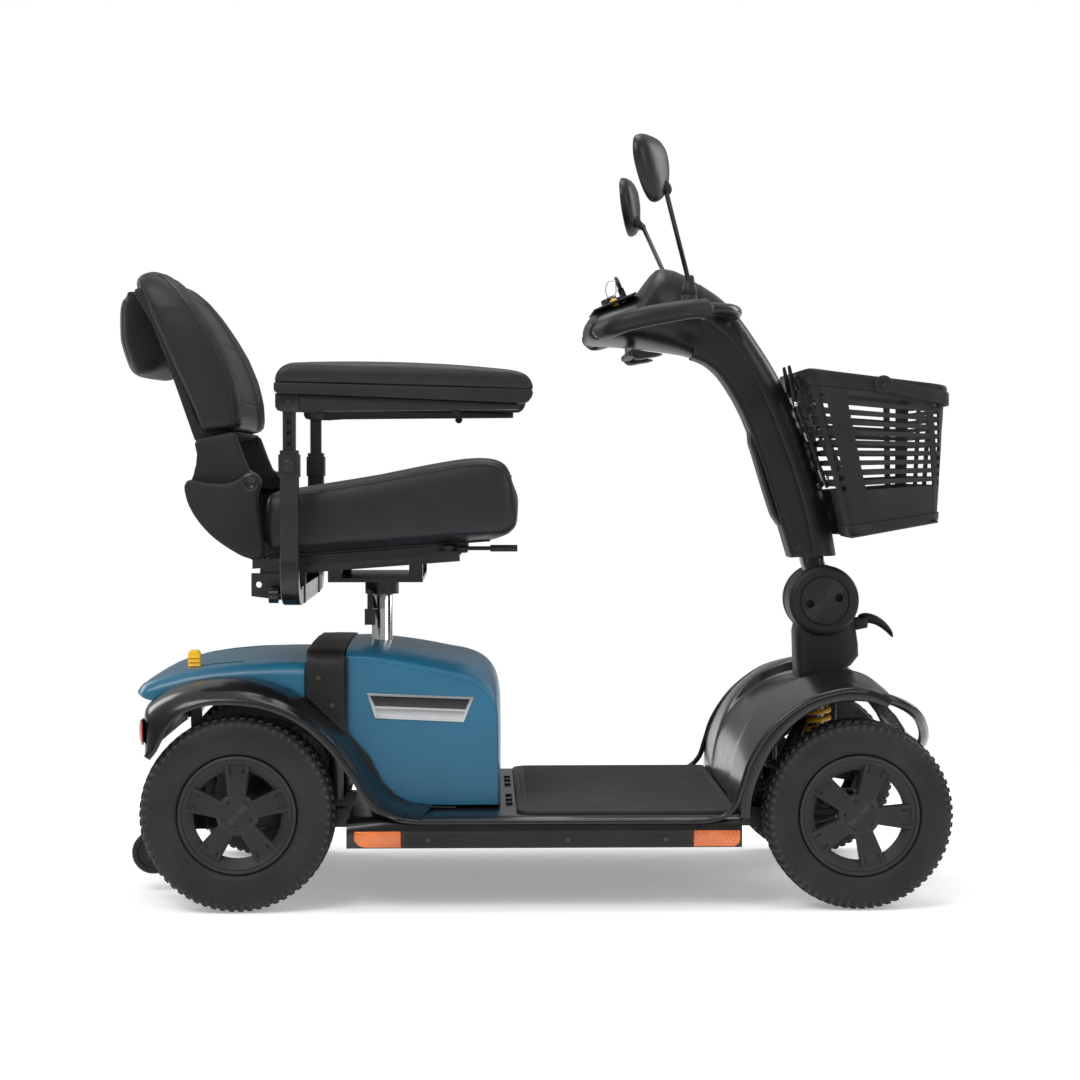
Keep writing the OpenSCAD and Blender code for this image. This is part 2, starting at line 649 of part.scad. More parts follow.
// Profile of a bar along that plane, between two heights above it.
function slide_bar(from, to, low, high) = [[from, slide_z(from) + low], [to, slide_z(to) + low],
  [to, slide_z(to) + high], [from, slide_z(from) + high]];

module seat_post() color([0.8, 0.8, 0.82]) rod_z(-post_x, 0, post_radius, 150, 455);
module seat_base() color(black) {
  difference() {
    union() {
      rod_z(-post_x, 0, 26, 442, 467);
      box([-300, -146, 466], [-160, 146, 472]);
    }
    rod_z(-post_x, 0, post_radius + run, 430, 455.5);
  }
  both() {
    slab(slide_bar(-400, -105, -12, -0.5), 120, 146);
    for (x = [-300, -180])
      slab([[x, 470], [x + 20, 470], [x + 20, slide_z(x + 20) - 11], [x, slide_z(x) - 11]],
        120, 146);
  }
  // hanging handle beside the post
  rod_y(-244, 447, 3, -40, -20);
  box([-247, -38, 402], [-239, -30, 448]);
  box([-251, -41, 396], [-235, -29, 420]);
}
module seat_frame() color(black) {
  both() slab(slide_bar(-411, -93, 0, 13), 118, 148);
  for (x = [-395, -130]) slab(slide_bar(x, x + 24, 3, 12), -118, 118);
  box([-360, -200, 436], [-334, 200, 462]);
  both() {
    difference() {
      slab([[-412, 446], [-332, 436], [-332, 503], [-360, 503], [-364, 480], [-412, 480]],
        148, 154);
      rod_y(-401, 463, 4.5, 140, 160);
    }
    rod_x(176, 449, 4, -370, -360);
    rod_x(176, 449, 12, -384, -370);
  }
  box([-136, -176, 509], [-108, -148, 513]);
  rod_z(slide_x, slide_y, slide_pin, 509, 521);
}
module seat_pan() color(dark) {
  slab([[-404, 500.6], [-60, 526.4], [-60, 530], [-404, 505]], -150, 150);
  slab(concat(pan_back, [[-404, 500.6], [-404, 505], [-434, 523], [-460, 543], [-480, 566],
    [-492, 589], [-495, 613]]), -208, 208);
  both() {
    slab(concat(pan_back, [[-404, 503], [-388, 506], [-396, 597], [-390, 612], [-396, 626],
      [-410, 630], [-424, 618], [-440, 612]]), 206, 232);
    rod_y(hinge_x, hinge_z, hinge_pin, 184, 232);
    slab([[-404, 501], [-389, 502], [-389, 506], [-404, 505.5]], 149, 208);
  }
}
module seat_cushion() color(dark)
  slab([[-384, 512], [-335, 516], [-135, 531], [-60, 535], [-37, 537], [-22, 546], [-20, 560],
    [-28, 629], [-40, 646], [-68, 651], [-100, 649], [-222, 624], [-338, 604], [-384, 598]],
    -seat_half, seat_half);
module slide_lever() color(black) {
  difference() {
    rod_z(slide_x, slide_y, 9, 513.5, 520.5);
    rod_z(slide_x, slide_y, slide_pin + run, 510, 525);
  }
  rod([-114, slide_y, 517], [-60, slide_y, 517], 3);
  rod([-60, slide_y, 517], [-20, slide_y, 517], 5);
}
module backrest_shell() color(dark) difference() {
  union() {
    slab([[-485, 700], [-513, 776], [-541, 846], [-563, 892], [-576, 893], [-551, 846],
      [-524, 776], [-494, 686], [-489, 672], [-428, 684], [-434, 690]], -181, 181);
    both() slab([[-395, 606], [-392, 614], [-398, 626], [-411, 632], [-428, 684], [-489, 672],
      [-487, 641], [-490, 618], [-440, 606], [-411, 600]], 181, 203);
  }
  both() rod_y(hinge_x, hinge_z, hinge_pin + run, 175, 210);
}
// Backrest cushion and the storage pouch behind it.
module backrest_cushion() color(dark) {
  slab([[-432, 694], [-420, 694], [-423, 735], [-431, 770], [-447, 809], [-467, 843],
    [-489, 875], [-509, 901], [-530, 920], [-556, 928], [-578, 924], [-584, 905], [-577, 894],
    [-562.5, 893], [-540, 846], [-512, 776], [-484, 701]], -back_half, back_half);
  slab([[-577.5, 893.6], [-553, 847], [-531.5, 792], [-531, 781], [-590, 772], [-600, 777],
    [-619, 815], [-619, 866], [-598, 893], [-586, 902], [-579, 901]], -150, 150);
}

// ---- Armrests ----
// Corners of the square post on the right (X, Y), and its gap in the sleeve.
arm_low = [-355, -278.5];
arm_high = [-337, -260.5];
arm_gap = 0.1;
arm_x = (arm_low[0] + arm_high[0]) / 2;
arm_z = 728;         // armrest pivot
arm_pin = 3;

module armrest_sleeves() color(black) both() difference() {
  union() {
    box([-359, -282, 500], [-333, -257, 660]);
    box([-361, -284, 622], [-331, -255, 654]);
    // bent foot reaching in under the seat (Y, Z)
    translate([-359, 0, 0]) rotate([90, 0, 90]) linear_extrude(26)
      polygon([[-282, 503], [-282, 470], [-262, 440], [-200, 436], [-200, 462], [-245, 464],
        [-257, 478], [-257, 503]]);
  }
  box([arm_low[0] - arm_gap, arm_low[1] - arm_gap, 505],
    [arm_high[0] + arm_gap, arm_high[1] + arm_gap, 700]);
}
module armrest_post_r() color(black) difference() {
  box([arm_low[0], arm_low[1], 560], [arm_high[0], arm_high[1], 733]);
  rod_y(arm_x, arm_z, arm_pin + run, -290, -250);
  for (z = [610 : 15 : 700]) rod_y(arm_x, z, 3.2, -290, -268);
}
module armrest_post_l() flip() armrest_post_r();
module armrest_r() color(black) {
  difference() {
    slab([[-367, 757], [-360, 779], [-345, 785], [-188, 784], [-28, 775], [-6, 768], [1, 749],
      [-3, 735], [-12, 726], [-363, 740]], -291, -246);
    for (y = [-291.5, -246.5])
      slab([[-370, 756], [5, 746], [5, 748], [-370, 758]], y, y + 1);
  }
  for (y = [-283, -259.5])
    slab([[-365, 740.3], [-365, 716], [-330, 714], [-330, 739]], y, y + 3.5);
  slab([[-333, 738.8], [-333, 714], [-300, 716], [-20, 718], [-20, 726.3]], -283, -256);
  rod_y(arm_x, arm_z, arm_pin, -286, -254);
  rod_y(-110, 715, 6, -272, -266);
}
module armrest_l() flip() armrest_r();

main_frame();
floor_deck();
deck_mat();
side_reflectors();
rear_fender();
rear_cover();
battery_shroud();
shroud_band();
badge_plates();
tail_lights();
front_fender();
battery_packs();
drive_unit();
front_shocks();
body_screws();
rear_tyre_r();
rear_rim_r();
rear_tyre_l();
rear_rim_l();
front_tyre_r();
front_rim_r();
front_tyre_l();
front_rim_l();
anti_tip_wheels();
freewheel_lever();
front_axle();
coil_springs();
knuckle_r();
knuckle_l();
tie_rod();
steering_stem();
tilt_lever();
tiller_frame();
tiller_front_cover();
tiller_rear_cover();
console();
console_panel();
handlebar();
hand_grips();
mirror_r();
mirror_l();
key();
speed_dial();
horn_button();
throttle_lever();
basket();
basket_handle();
seat_post();
seat_base();
seat_frame();
seat_pan();
seat_cushion();
slide_lever();
backrest_shell();
backrest_cushion();
armrest_sleeves();
armrest_post_r();
armrest_post_l();
armrest_r();
armrest_l();
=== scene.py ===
# Four-wheel mobility scooter: blue and black shells over a CAD frame, a tiller with basket and
# mirrors, and a sewn seat. It faces +X, the rider's left is +Y, and Z is up from the ground.
# Shapes are given in millimetres; add_mesh converts them to metres.
import json
import math
from contextlib import contextmanager

import bmesh
import bpy
import numpy as np
from mathutils import Matrix, Vector
from mathutils.bvhtree import BVHTree
from mathutils.kdtree import KDTree
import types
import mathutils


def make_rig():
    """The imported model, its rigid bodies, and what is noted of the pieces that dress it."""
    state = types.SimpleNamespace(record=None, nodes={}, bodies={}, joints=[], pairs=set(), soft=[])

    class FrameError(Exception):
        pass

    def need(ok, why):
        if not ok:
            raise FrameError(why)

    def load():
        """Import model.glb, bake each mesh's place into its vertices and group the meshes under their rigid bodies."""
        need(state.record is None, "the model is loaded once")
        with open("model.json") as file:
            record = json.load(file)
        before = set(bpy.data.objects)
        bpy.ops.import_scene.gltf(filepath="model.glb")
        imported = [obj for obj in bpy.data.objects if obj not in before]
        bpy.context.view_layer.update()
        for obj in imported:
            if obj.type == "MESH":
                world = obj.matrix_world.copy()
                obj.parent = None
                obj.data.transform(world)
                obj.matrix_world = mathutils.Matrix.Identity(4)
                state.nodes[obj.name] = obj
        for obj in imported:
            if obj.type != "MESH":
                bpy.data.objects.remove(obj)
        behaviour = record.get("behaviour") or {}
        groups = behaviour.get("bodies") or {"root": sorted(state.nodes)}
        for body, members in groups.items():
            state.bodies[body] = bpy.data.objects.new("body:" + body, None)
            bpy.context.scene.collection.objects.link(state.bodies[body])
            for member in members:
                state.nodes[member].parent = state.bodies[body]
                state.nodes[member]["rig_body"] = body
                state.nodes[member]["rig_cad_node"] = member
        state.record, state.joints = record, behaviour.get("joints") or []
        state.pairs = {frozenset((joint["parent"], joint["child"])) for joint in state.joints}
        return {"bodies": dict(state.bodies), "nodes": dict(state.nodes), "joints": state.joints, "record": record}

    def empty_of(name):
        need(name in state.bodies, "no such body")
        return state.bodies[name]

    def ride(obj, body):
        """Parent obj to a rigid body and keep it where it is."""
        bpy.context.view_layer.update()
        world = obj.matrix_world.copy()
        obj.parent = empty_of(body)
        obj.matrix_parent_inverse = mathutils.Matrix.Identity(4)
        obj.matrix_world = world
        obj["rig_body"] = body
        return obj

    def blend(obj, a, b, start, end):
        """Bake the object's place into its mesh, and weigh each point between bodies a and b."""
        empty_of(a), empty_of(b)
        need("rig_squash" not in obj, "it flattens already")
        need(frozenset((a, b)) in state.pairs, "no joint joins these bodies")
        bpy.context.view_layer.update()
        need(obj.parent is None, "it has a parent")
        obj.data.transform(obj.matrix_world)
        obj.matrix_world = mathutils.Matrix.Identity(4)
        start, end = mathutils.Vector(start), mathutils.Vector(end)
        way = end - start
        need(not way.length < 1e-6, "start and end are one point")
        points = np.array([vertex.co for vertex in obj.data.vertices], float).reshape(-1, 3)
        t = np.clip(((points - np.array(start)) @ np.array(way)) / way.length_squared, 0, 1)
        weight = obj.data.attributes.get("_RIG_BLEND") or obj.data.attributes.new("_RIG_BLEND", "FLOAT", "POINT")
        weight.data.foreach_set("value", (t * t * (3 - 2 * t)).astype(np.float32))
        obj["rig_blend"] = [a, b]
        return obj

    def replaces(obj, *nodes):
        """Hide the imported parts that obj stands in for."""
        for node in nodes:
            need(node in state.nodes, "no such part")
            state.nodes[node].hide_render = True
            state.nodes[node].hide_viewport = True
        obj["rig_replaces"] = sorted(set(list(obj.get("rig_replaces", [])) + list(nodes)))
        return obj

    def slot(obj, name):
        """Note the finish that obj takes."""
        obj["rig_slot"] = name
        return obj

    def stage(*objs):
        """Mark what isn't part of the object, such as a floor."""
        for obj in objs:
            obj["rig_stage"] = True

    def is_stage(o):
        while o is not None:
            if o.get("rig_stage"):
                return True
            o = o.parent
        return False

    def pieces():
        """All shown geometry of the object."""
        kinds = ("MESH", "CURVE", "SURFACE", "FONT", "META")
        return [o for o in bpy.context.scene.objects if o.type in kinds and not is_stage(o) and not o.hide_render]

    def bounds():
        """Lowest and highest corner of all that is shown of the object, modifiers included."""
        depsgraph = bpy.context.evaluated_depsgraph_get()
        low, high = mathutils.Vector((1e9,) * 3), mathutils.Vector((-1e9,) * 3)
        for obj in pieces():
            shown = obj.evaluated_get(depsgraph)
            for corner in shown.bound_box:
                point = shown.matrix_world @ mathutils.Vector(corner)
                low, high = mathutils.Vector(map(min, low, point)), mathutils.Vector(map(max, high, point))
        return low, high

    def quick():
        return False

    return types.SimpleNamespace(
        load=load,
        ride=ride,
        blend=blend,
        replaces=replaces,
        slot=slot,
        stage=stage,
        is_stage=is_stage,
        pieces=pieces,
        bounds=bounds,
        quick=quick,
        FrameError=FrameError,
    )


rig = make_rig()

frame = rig.load()
CAD_BOX = [list(map(float, p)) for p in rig.bounds()]
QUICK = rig.quick()
MM = 0.001
SIDES = (-1, 1)                 # rider's right, rider's left
SIDE_OF = {"r": -1, "l": 1}
REAR_AXLE = (-422, 140)         # x, z
FRONT_AXLE = (470, 136)
WHEEL_Y = 245
TILT_AXIS = (452, 432)          # x, z of the disc where the tiller pivots
MIRROR_FOOT = (236, 130)        # x, y of the sockets that hold the mirrors
POST_X = -346                   # armrest posts
POST_Y = 269.5
scene = bpy.context.scene


# ------------------------------------------------------------------ materials
def add_node(tree, kind, inputs=None):
    """New shader node; inputs maps socket names or numbers to values."""
    node = tree.nodes.new(kind)
    for socket, value in (inputs or {}).items():
        node.inputs[socket].default_value = value
    return node


def add_noise(tree, coords, scale, detail):
    node = add_node(tree, "ShaderNodeTexNoise", {"Scale": scale, "Detail": detail})
    tree.links.new(coords, node.inputs["Vector"])
    return node


def set_ramp(ramp, *stops):
    for element, (position, color) in zip(ramp.color_ramp.elements, stops):
        element.position = position
        if color:
            element.color = (*color, 1)


def grain_height(tree, coords, kind, scale):
    """Height output of a fine surface pattern."""
    link = tree.links.new
    if kind == "leather":
        cells = add_node(tree, "ShaderNodeTexVoronoi", {"Scale": scale})
        cells.feature = "DISTANCE_TO_EDGE"
        noise = add_noise(tree, coords, scale * 0.35, 2)
        warp = add_node(tree, "ShaderNodeMixRGB", {0: 0.006})
        link(coords, warp.inputs[1])
        link(noise.outputs["Color"], warp.inputs[2])
        link(warp.outputs[0], cells.inputs["Vector"])
        plateau = add_node(tree, "ShaderNodeMath", {1: 0.22})
        plateau.operation = "MINIMUM"
        link(cells.outputs["Distance"], plateau.inputs[0])
        return plateau.outputs[0]
    if kind == "prism":
        cells = add_node(tree, "ShaderNodeTexVoronoi", {"Scale": scale, "Randomness": 0.0})
        link(coords, cells.inputs["Vector"])
        return cells.outputs["Distance"]
    if kind == "brush":
        stretch = add_node(tree, "ShaderNodeMapping", {"Scale": (scale * 0.06, scale, scale)})
        link(coords, stretch.inputs["Vector"])
        return add_noise(tree, stretch.outputs[0], 1, 3).outputs["Fac"]
    if kind == "weave":
        waves = []
        for direction in "ZY":
            wave = add_node(tree, "ShaderNodeTexWave", {"Scale": scale})
            wave.bands_direction = direction
            link(coords, wave.inputs["Vector"])
            waves.append(wave)
        product = add_node(tree, "ShaderNodeMath")
        product.operation = "MULTIPLY"
        for i, wave in enumerate(waves):
            link(wave.outputs["Fac"], product.inputs[i])
        return product.outputs[0]
    return add_noise(tree, coords, scale, 2).outputs["Fac"]


def surface(name, color, roughness, metallic=0.0, specular=0.5, coat=0.0, coat_roughness=0.08,
            sheen=0.0, drift=0.12, light_color=None, rough_drift=0.08, wear=0.0,
            grain="noise", grain_scale=900, bump=0.15, bump_depth=0.0006):
    """Material with drifting colour and roughness, a grain bump and optional edge wear."""
    material = bpy.data.materials.new(name)
    material.use_nodes = True
    tree = material.node_tree
    link = tree.links.new
    shader = tree.nodes["Principled BSDF"]
    for socket, value in (("Metallic", metallic), ("Coat Weight", coat),
                          ("Coat Roughness", coat_roughness), ("Specular IOR Level", specular),
                          ("Sheen Weight", sheen)):
        shader.inputs[socket].default_value = value
    coords = add_node(tree, "ShaderNodeTexCoord").outputs["Object"]

    noise = add_noise(tree, coords, 14, 4)
    ramp = add_node(tree, "ShaderNodeValToRGB")
    light = light_color or tuple(min(1, c * (1 + drift) + 0.02 * drift) for c in color)
    set_ramp(ramp, (0.3, tuple(c * (1 - drift) for c in color)), (0.7, light))
    link(noise.outputs["Fac"], ramp.inputs["Fac"])
    base = ramp.outputs["Color"]
    if wear:
        geometry = add_node(tree, "ShaderNodeNewGeometry")
        edges = add_node(tree, "ShaderNodeValToRGB")
        set_ramp(edges, (0.53, None), (0.62, None))
        link(geometry.outputs["Pointiness"], edges.inputs["Fac"])
        amount = add_node(tree, "ShaderNodeMath", {1: wear})
        amount.operation = "MULTIPLY"
        link(edges.outputs["Color"], amount.inputs[0])
        worn = (*[min(1, c * 2.2 + 0.05) for c in color], 1)
        mix = add_node(tree, "ShaderNodeMixRGB", {2: worn})
        link(amount.outputs[0], mix.inputs[0])
        link(base, mix.inputs[1])
        base = mix.outputs[0]
    link(base, shader.inputs["Base Color"])

    rough = add_node(tree, "ShaderNodeMapRange", {"To Min": max(0.02, roughness - rough_drift),
                                                  "To Max": roughness + rough_drift})
    link(add_noise(tree, coords, 45, 3).outputs["Fac"], rough.inputs["Value"])
    link(rough.outputs["Result"], shader.inputs["Roughness"])

    height = grain_height(tree, coords, grain, grain_scale)
    relief = add_node(tree, "ShaderNodeBump", {"Strength": bump, "Distance": bump_depth})
    link(height, relief.inputs["Height"])
    link(relief.outputs["Normal"], shader.inputs["Normal"])
    return material


BLUE = surface("body_blue", color=(0.014, 0.118, 0.208), roughness=0.36, specular=0.35, coat=0.22,
               coat_roughness=0.22, grain_scale=1500, bump=0.05, drift=0.05, rough_drift=0.05)
GLOSS = surface("gloss_black", color=(0.0045, 0.0045, 0.005), roughness=0.24, specular=0.35,
                coat=0.22, coat_roughness=0.12, grain_scale=1200, bump=0.03, drift=0.2,
                rough_drift=0.05)
SATIN = surface("satin_black", color=(0.0055, 0.006, 0.0065), roughness=0.36, specular=0.32,
                coat=0.06, coat_roughness=0.3, grain_scale=1600, bump=0.06, drift=0.15,
                rough_drift=0.06)
MATTE = surface("matte_black", color=(0.0075, 0.0075, 0.008), roughness=0.50, specular=0.28,
                grain_scale=1400, bump=0.18, drift=0.15, wear=0.25)
TEXTURED = surface("textured_plastic", color=(0.010, 0.010, 0.0105), roughness=0.55,
                   specular=0.28, grain_scale=1100, bump=0.35, drift=0.15, wear=0.2)
MAT_RUBBER = surface("mat_rubber", color=(0.030, 0.029, 0.0285), roughness=0.66, specular=0.3,
                     bump=0.4)
FRAME = surface("frame_black", color=(0.004, 0.004, 0.0043), roughness=0.28, specular=0.35,
                coat=0.15, coat_roughness=0.2, grain_scale=500, bump=0.06, drift=0.2, wear=0.3)
TYRE = surface("tyre", color=(0.0105, 0.0103, 0.010), roughness=0.60, specular=0.3,
               grain_scale=800, bump=0.3, drift=0.25, wear=0.2)
RIM = surface("rim_plastic", color=(0.013, 0.013, 0.0135), roughness=0.48, specular=0.3,
              grain_scale=1300, bump=0.25, wear=0.25)
GRIP = surface("grip_rubber", color=(0.010, 0.010, 0.011), roughness=0.46, specular=0.3,
               grain_scale=1200, bump=0.2)
VINYL = surface("vinyl", color=(0.0105, 0.011, 0.0125), roughness=0.46, specular=0.30,
                grain="leather", grain_scale=620, bump=0.28, bump_depth=0.0004, drift=0.14,
                rough_drift=0.06)
PIPING = surface("vinyl_centre", color=(0.013, 0.0138, 0.0155), roughness=0.50, specular=0.30,
                 grain="leather", grain_scale=760, bump=0.34, bump_depth=0.0004,
                 rough_drift=0.06)
CLOTH = surface("pouch_cloth", color=(0.006, 0.006, 0.0065), roughness=0.85, specular=0.2,
                grain="weave", grain_scale=260, bump=0.5, drift=0.2, sheen=0.2)
THREAD = surface("thread", color=(0.022, 0.022, 0.024), roughness=0.6, grain_scale=3000,
                 bump=0.4, drift=0.2)
CHROME = surface("chrome", color=(0.78, 0.79, 0.80), roughness=0.10, metallic=1.0,
                 grain="brush", grain_scale=400, bump=0.02, drift=0.04, rough_drift=0.04)
ZINC = surface("zinc", color=(0.52, 0.53, 0.54), roughness=0.32, metallic=1.0,
               grain="brush", grain_scale=700, bump=0.1, drift=0.1)
CAST = surface("cast_grey", color=(0.10, 0.10, 0.105), roughness=0.55, metallic=0.6,
               grain_scale=700, bump=0.4, drift=0.2)
PLATE = surface("badge_plate", color=(0.42, 0.43, 0.44), roughness=0.30, metallic=0.9,
                grain="brush", grain_scale=600, drift=0.06)
YELLOW = surface("lever_yellow", color=(0.90, 0.53, 0.01), roughness=0.38, coat=0.2, bump=0.12,
                 drift=0.06)
SPRING = surface("spring_yellow", color=(0.85, 0.42, 0.01), roughness=0.32, coat=0.3, bump=0.1,
                 drift=0.1)
AMBER = surface("reflector_amber", color=(0.55, 0.085, 0.002), roughness=0.22, coat=0.8,
                grain="prism", grain_scale=330, bump=0.9, bump_depth=0.002, drift=0.25,
                light_color=(0.85, 0.19, 0.008))
RED = surface("lens_red", color=(0.22, 0.004, 0.006), roughness=0.15, coat=0.8,
              grain="prism", grain_scale=300, bump=0.5, bump_depth=0.001, drift=0.2,
              light_color=(0.34, 0.012, 0.016))
MIRROR = surface("mirror_glass", color=(0.16, 0.17, 0.18), roughness=0.05, metallic=1.0,
                 grain_scale=50, bump=0.005, drift=0.02, rough_drift=0.02)
BATTERY = surface("battery_grey", color=(0.05, 0.05, 0.055), roughness=0.5, bump=0.3, drift=0.1)


# ------------------------------------------------------------------ mesh tools
@contextmanager
def editing(mesh):
    bm = bmesh.new()
    bm.from_mesh(mesh)
    yield bm
    bm.to_mesh(mesh)
    bm.free()


def link_object(name, mesh):
    obj = bpy.data.objects.new(name, mesh)
    scene.collection.objects.link(obj)
    return obj


def add_mesh(points, faces, material, name="part", smooth=True):
    """Object from points in mm, with its face normals made consistent."""
    mesh = bpy.data.meshes.new(name)
    mesh.from_pydata([tuple(c * MM for c in p) for p in points], [], faces)
    mesh.materials.append(material)
    mesh.update()
    with editing(mesh) as bm:
        bmesh.ops.recalc_face_normals(bm, faces=bm.faces)
    if smooth:
        mesh.polygons.foreach_set("use_smooth", [True] * len(mesh.polygons))
    return link_object(name, mesh)


def apply_modifiers(obj):
    bpy.context.view_layer.update()
    graph = bpy.context.evaluated_depsgraph_get()
    mesh = bpy.data.meshes.new_from_object(obj.evaluated_get(graph))
    obj.modifiers.clear()
    obj.data = mesh


def shade(obj, angle=35):
    """Smooth shading, with edges sharper than angle (degrees) kept crisp."""
    limit = math.radians(angle)
    with editing(obj.data) as bm:
        for face in bm.faces:
            face.smooth = True
        for edge in bm.edges:
            edge.smooth = len(edge.link_faces) != 2 or edge.calc_face_angle(0) < limit
    return obj


def thicken(obj, thickness, offset=0, angle=38):
    solid = obj.modifiers.new("thickness", "SOLIDIFY")
    solid.thickness = thickness * MM
    solid.offset = offset
    solid.use_even_offset = True
    apply_modifiers(obj)
    return shade(obj, angle)


def round_edges(obj, width, segments=3):
    bevel = obj.modifiers.new("round", "BEVEL")
    bevel.width = width * MM
    bevel.segments = segments
    bevel.limit_method = "ANGLE"
    bevel.angle_limit = math.radians(30)
    apply_modifiers(obj)
    return shade(obj, 38)


def weld(obj, distance, dissolve=False):
    """Merge points closer than distance (metres)."""
    with editing(obj.data) as bm:
        bmesh.ops.remove_doubles(bm, verts=bm.verts, dist=distance)
        if dissolve:
            bmesh.ops.dissolve_degenerate(bm, dist=1e-7, edges=bm.edges)
        bmesh.ops.recalc_face_normals(bm, faces=bm.faces)
    return obj


def cut_away(obj, cutters):
    for cutter in cutters:
        cut = obj.modifiers.new("cut", "BOOLEAN")
        cut.object = cutter
        cut.operation = "DIFFERENCE"
        cut.solver = "EXACT"
    apply_modifiers(obj)
    for cutter in cutters:
        bpy.data.objects.remove(cutter)
    return obj


def even(points, count, closed=False):
    """count points evenly spaced along a polyline."""
    line = np.array(points, float)
    if closed:
        line = np.vstack([line, line[:1]])
    run = np.r_[0, np.cumsum(np.linalg.norm(np.diff(line, axis=0), axis=1))]
    if closed:
        at = np.linspace(0, run[-1], count + 1)[:-1]
    else:
        at = np.linspace(0, run[-1], count)
    return np.stack([np.interp(at, run, line[:, k]) for k in range(line.shape[1])], 1)


def spline(points, count, closed=False):
    """count points evenly spaced along a centripetal Catmull-Rom curve through points."""
    def gap(a, b):
        return max(1e-6, np.linalg.norm(b - a)) ** 0.5

    def mix(a, b, ta, tb, t):
        return (tb - t) / (tb - ta) * a + (t - ta) / (tb - ta) * b

    knots = [np.array(p, float) for p in points]
    total = len(knots)
    steps = 12
    fine = []
    for i in range(total if closed else total - 1):
        if closed:
            p0, p1, p2, p3 = (knots[(i + k) % total] for k in (-1, 0, 1, 2))
        else:
            p1, p2 = knots[i], knots[i + 1]
            p0 = knots[i - 1] if i else 2 * p1 - p2
            p3 = knots[i + 2] if i + 2 < total else 2 * p2 - p1
        t1 = gap(p0, p1)
        t2 = t1 + gap(p1, p2)
        t3 = t2 + gap(p2, p3)
        for k in range(steps):
            t = t1 + (t2 - t1) * k / steps
            a1, a2, a3 = mix(p0, p1, 0, t1, t), mix(p1, p2, t1, t2, t), mix(p2, p3, t2, t3, t)
            fine.append(mix(mix(a1, a2, 0, t2, t), mix(a2, a3, t1, t3, t), t1, t2, t))
    if not closed:
        fine.append(knots[-1])
    return even(fine, count, closed)


def outline(points, count, fine=600):
    return even(spline(points, fine), count)


def blend(a, b, t):
    return a * (1 - t) + b * t


def at_y(points, y):
    """Place an (x, z) outline at y."""
    return [(x, y, z) for x, z in points]


def at_x(points, x):
    """Place a (y, z) section at x."""
    return [(x, y, z) for y, z in points]


def blend_rows(a, b, steps):
    """Rows between two (x, z) outlines; steps are (share of b, y)."""
    return [at_y(blend(a, b, t), y) for t, y in steps]


def arch(half):
    """Full (y, z) section from its +Y half, listed from the foot to the middle."""
    return [(-y, z) for y, z in half] + half[-2::-1]


def around(count):
    return np.linspace(0, 2 * math.pi, count, endpoint=False)


def power(value, exponent):
    """Power that keeps the sign, for superellipses."""
    return math.copysign(abs(value) ** exponent, value)


def at_station(table, t):
    """Row of a table at the fractional index t."""
    return [np.interp(t, range(len(table)), column) for column in np.array(table, float).T]


def station_steps(table, count):
    return np.linspace(0, len(table) - 1, count)


def prism_faces(n, start=0):
    """Faces between two n-point rings numbered one after the other: first cap, second cap, sides."""
    caps = [tuple(range(n)), tuple(range(2 * n - 1, n - 1, -1))]
    sides = [(i, (i + 1) % n, n + (i + 1) % n, n + i) for i in range(n)]
    return [tuple(start + i for i in face) for face in caps + sides]


def grid_mesh(rows, material, ring=False, loop=False, cap=False, name="part"):
    """Quads between neighbouring rows. ring closes each row, loop joins the last to the first."""
    count, width = len(rows), len(rows[0])
    faces = []
    for i in range(count if loop else count - 1):
        here, after = i * width, (i + 1) % count * width
        for j in range(width if ring else width - 1):
            k = (j + 1) % width
            faces.append((here + j, here + k, after + k, after + j))
    if cap:
        faces.append(tuple(range(width))[::-1])
        faces.append(tuple((count - 1) * width + j for j in range(width)))
    return add_mesh([p for row in rows for p in row], faces, material, name)


def span(side, near, far):
    """Low and high y of a width given outward from the middle."""
    return sorted((side * near, side * far))


def slab(points, y0, y1, material, bevel, segments=3):
    """Side outline (x, z) given width in Y, with rounded edges."""
    obj = add_mesh(at_y(points, y0) + at_y(points, y1), prism_faces(len(points)), material)
    return round_edges(obj, bevel, segments)


def tube(path, radius, material, sides, samples=0):
    """Round tube; samples=0 uses the path as it is. radius may be one value per sample."""
    line = spline(path, samples) if samples else np.array(path, float)
    along = np.gradient(line, axis=0)
    along /= np.linalg.norm(along, axis=1)[:, None]
    u = np.cross(along[0], (0, 0, 1.0))
    if np.linalg.norm(u) < 0.1:
        u = np.cross(along[0], (0, 1.0, 0))
    u /= np.linalg.norm(u)
    rows = []
    for centre, t, r in zip(line, along, np.broadcast_to(radius, len(line))):
        u = u - t * np.dot(u, t)
        u /= np.linalg.norm(u)
        v = np.cross(t, u)
        rows.append([centre + r * (u * math.cos(a) + v * math.sin(a)) for a in around(sides)])
    return shade(grid_mesh(rows, material, ring=True, cap=True), 50)


def lathe(profile, centre, material, axis="y", n=64, side=1):
    """Closed (radius, along) profile turned about an axis; side=-1 mirrors it along the axis."""
    rows = []
    for a in around(n):
        c, s = math.cos(a), math.sin(a)
        row = []
        for r, t in profile:
            t = side * t
            p = {"y": (r * c, t, r * s), "z": (r * c, r * s, t), "x": (t, r * c, r * s)}[axis]
            row.append(np.array(p) + centre)
        rows.append(row)
    return shade(weld(grid_mesh(rows, material, ring=True, loop=True), 1e-6, dissolve=True))


def cross_cylinder(x, z, r, y0, y1, n=32):
    return lathe([(0.01, y0), (r, y0), (r, y1), (0.01, y1)], (x, 0, z), MATTE, n=n)


def mirrored(obj):
    mesh = obj.data.copy()
    mesh.transform(Matrix.Scale(-1, 4, (0, 1, 0)))
    mesh.flip_normals()
    return link_object("part", mesh)


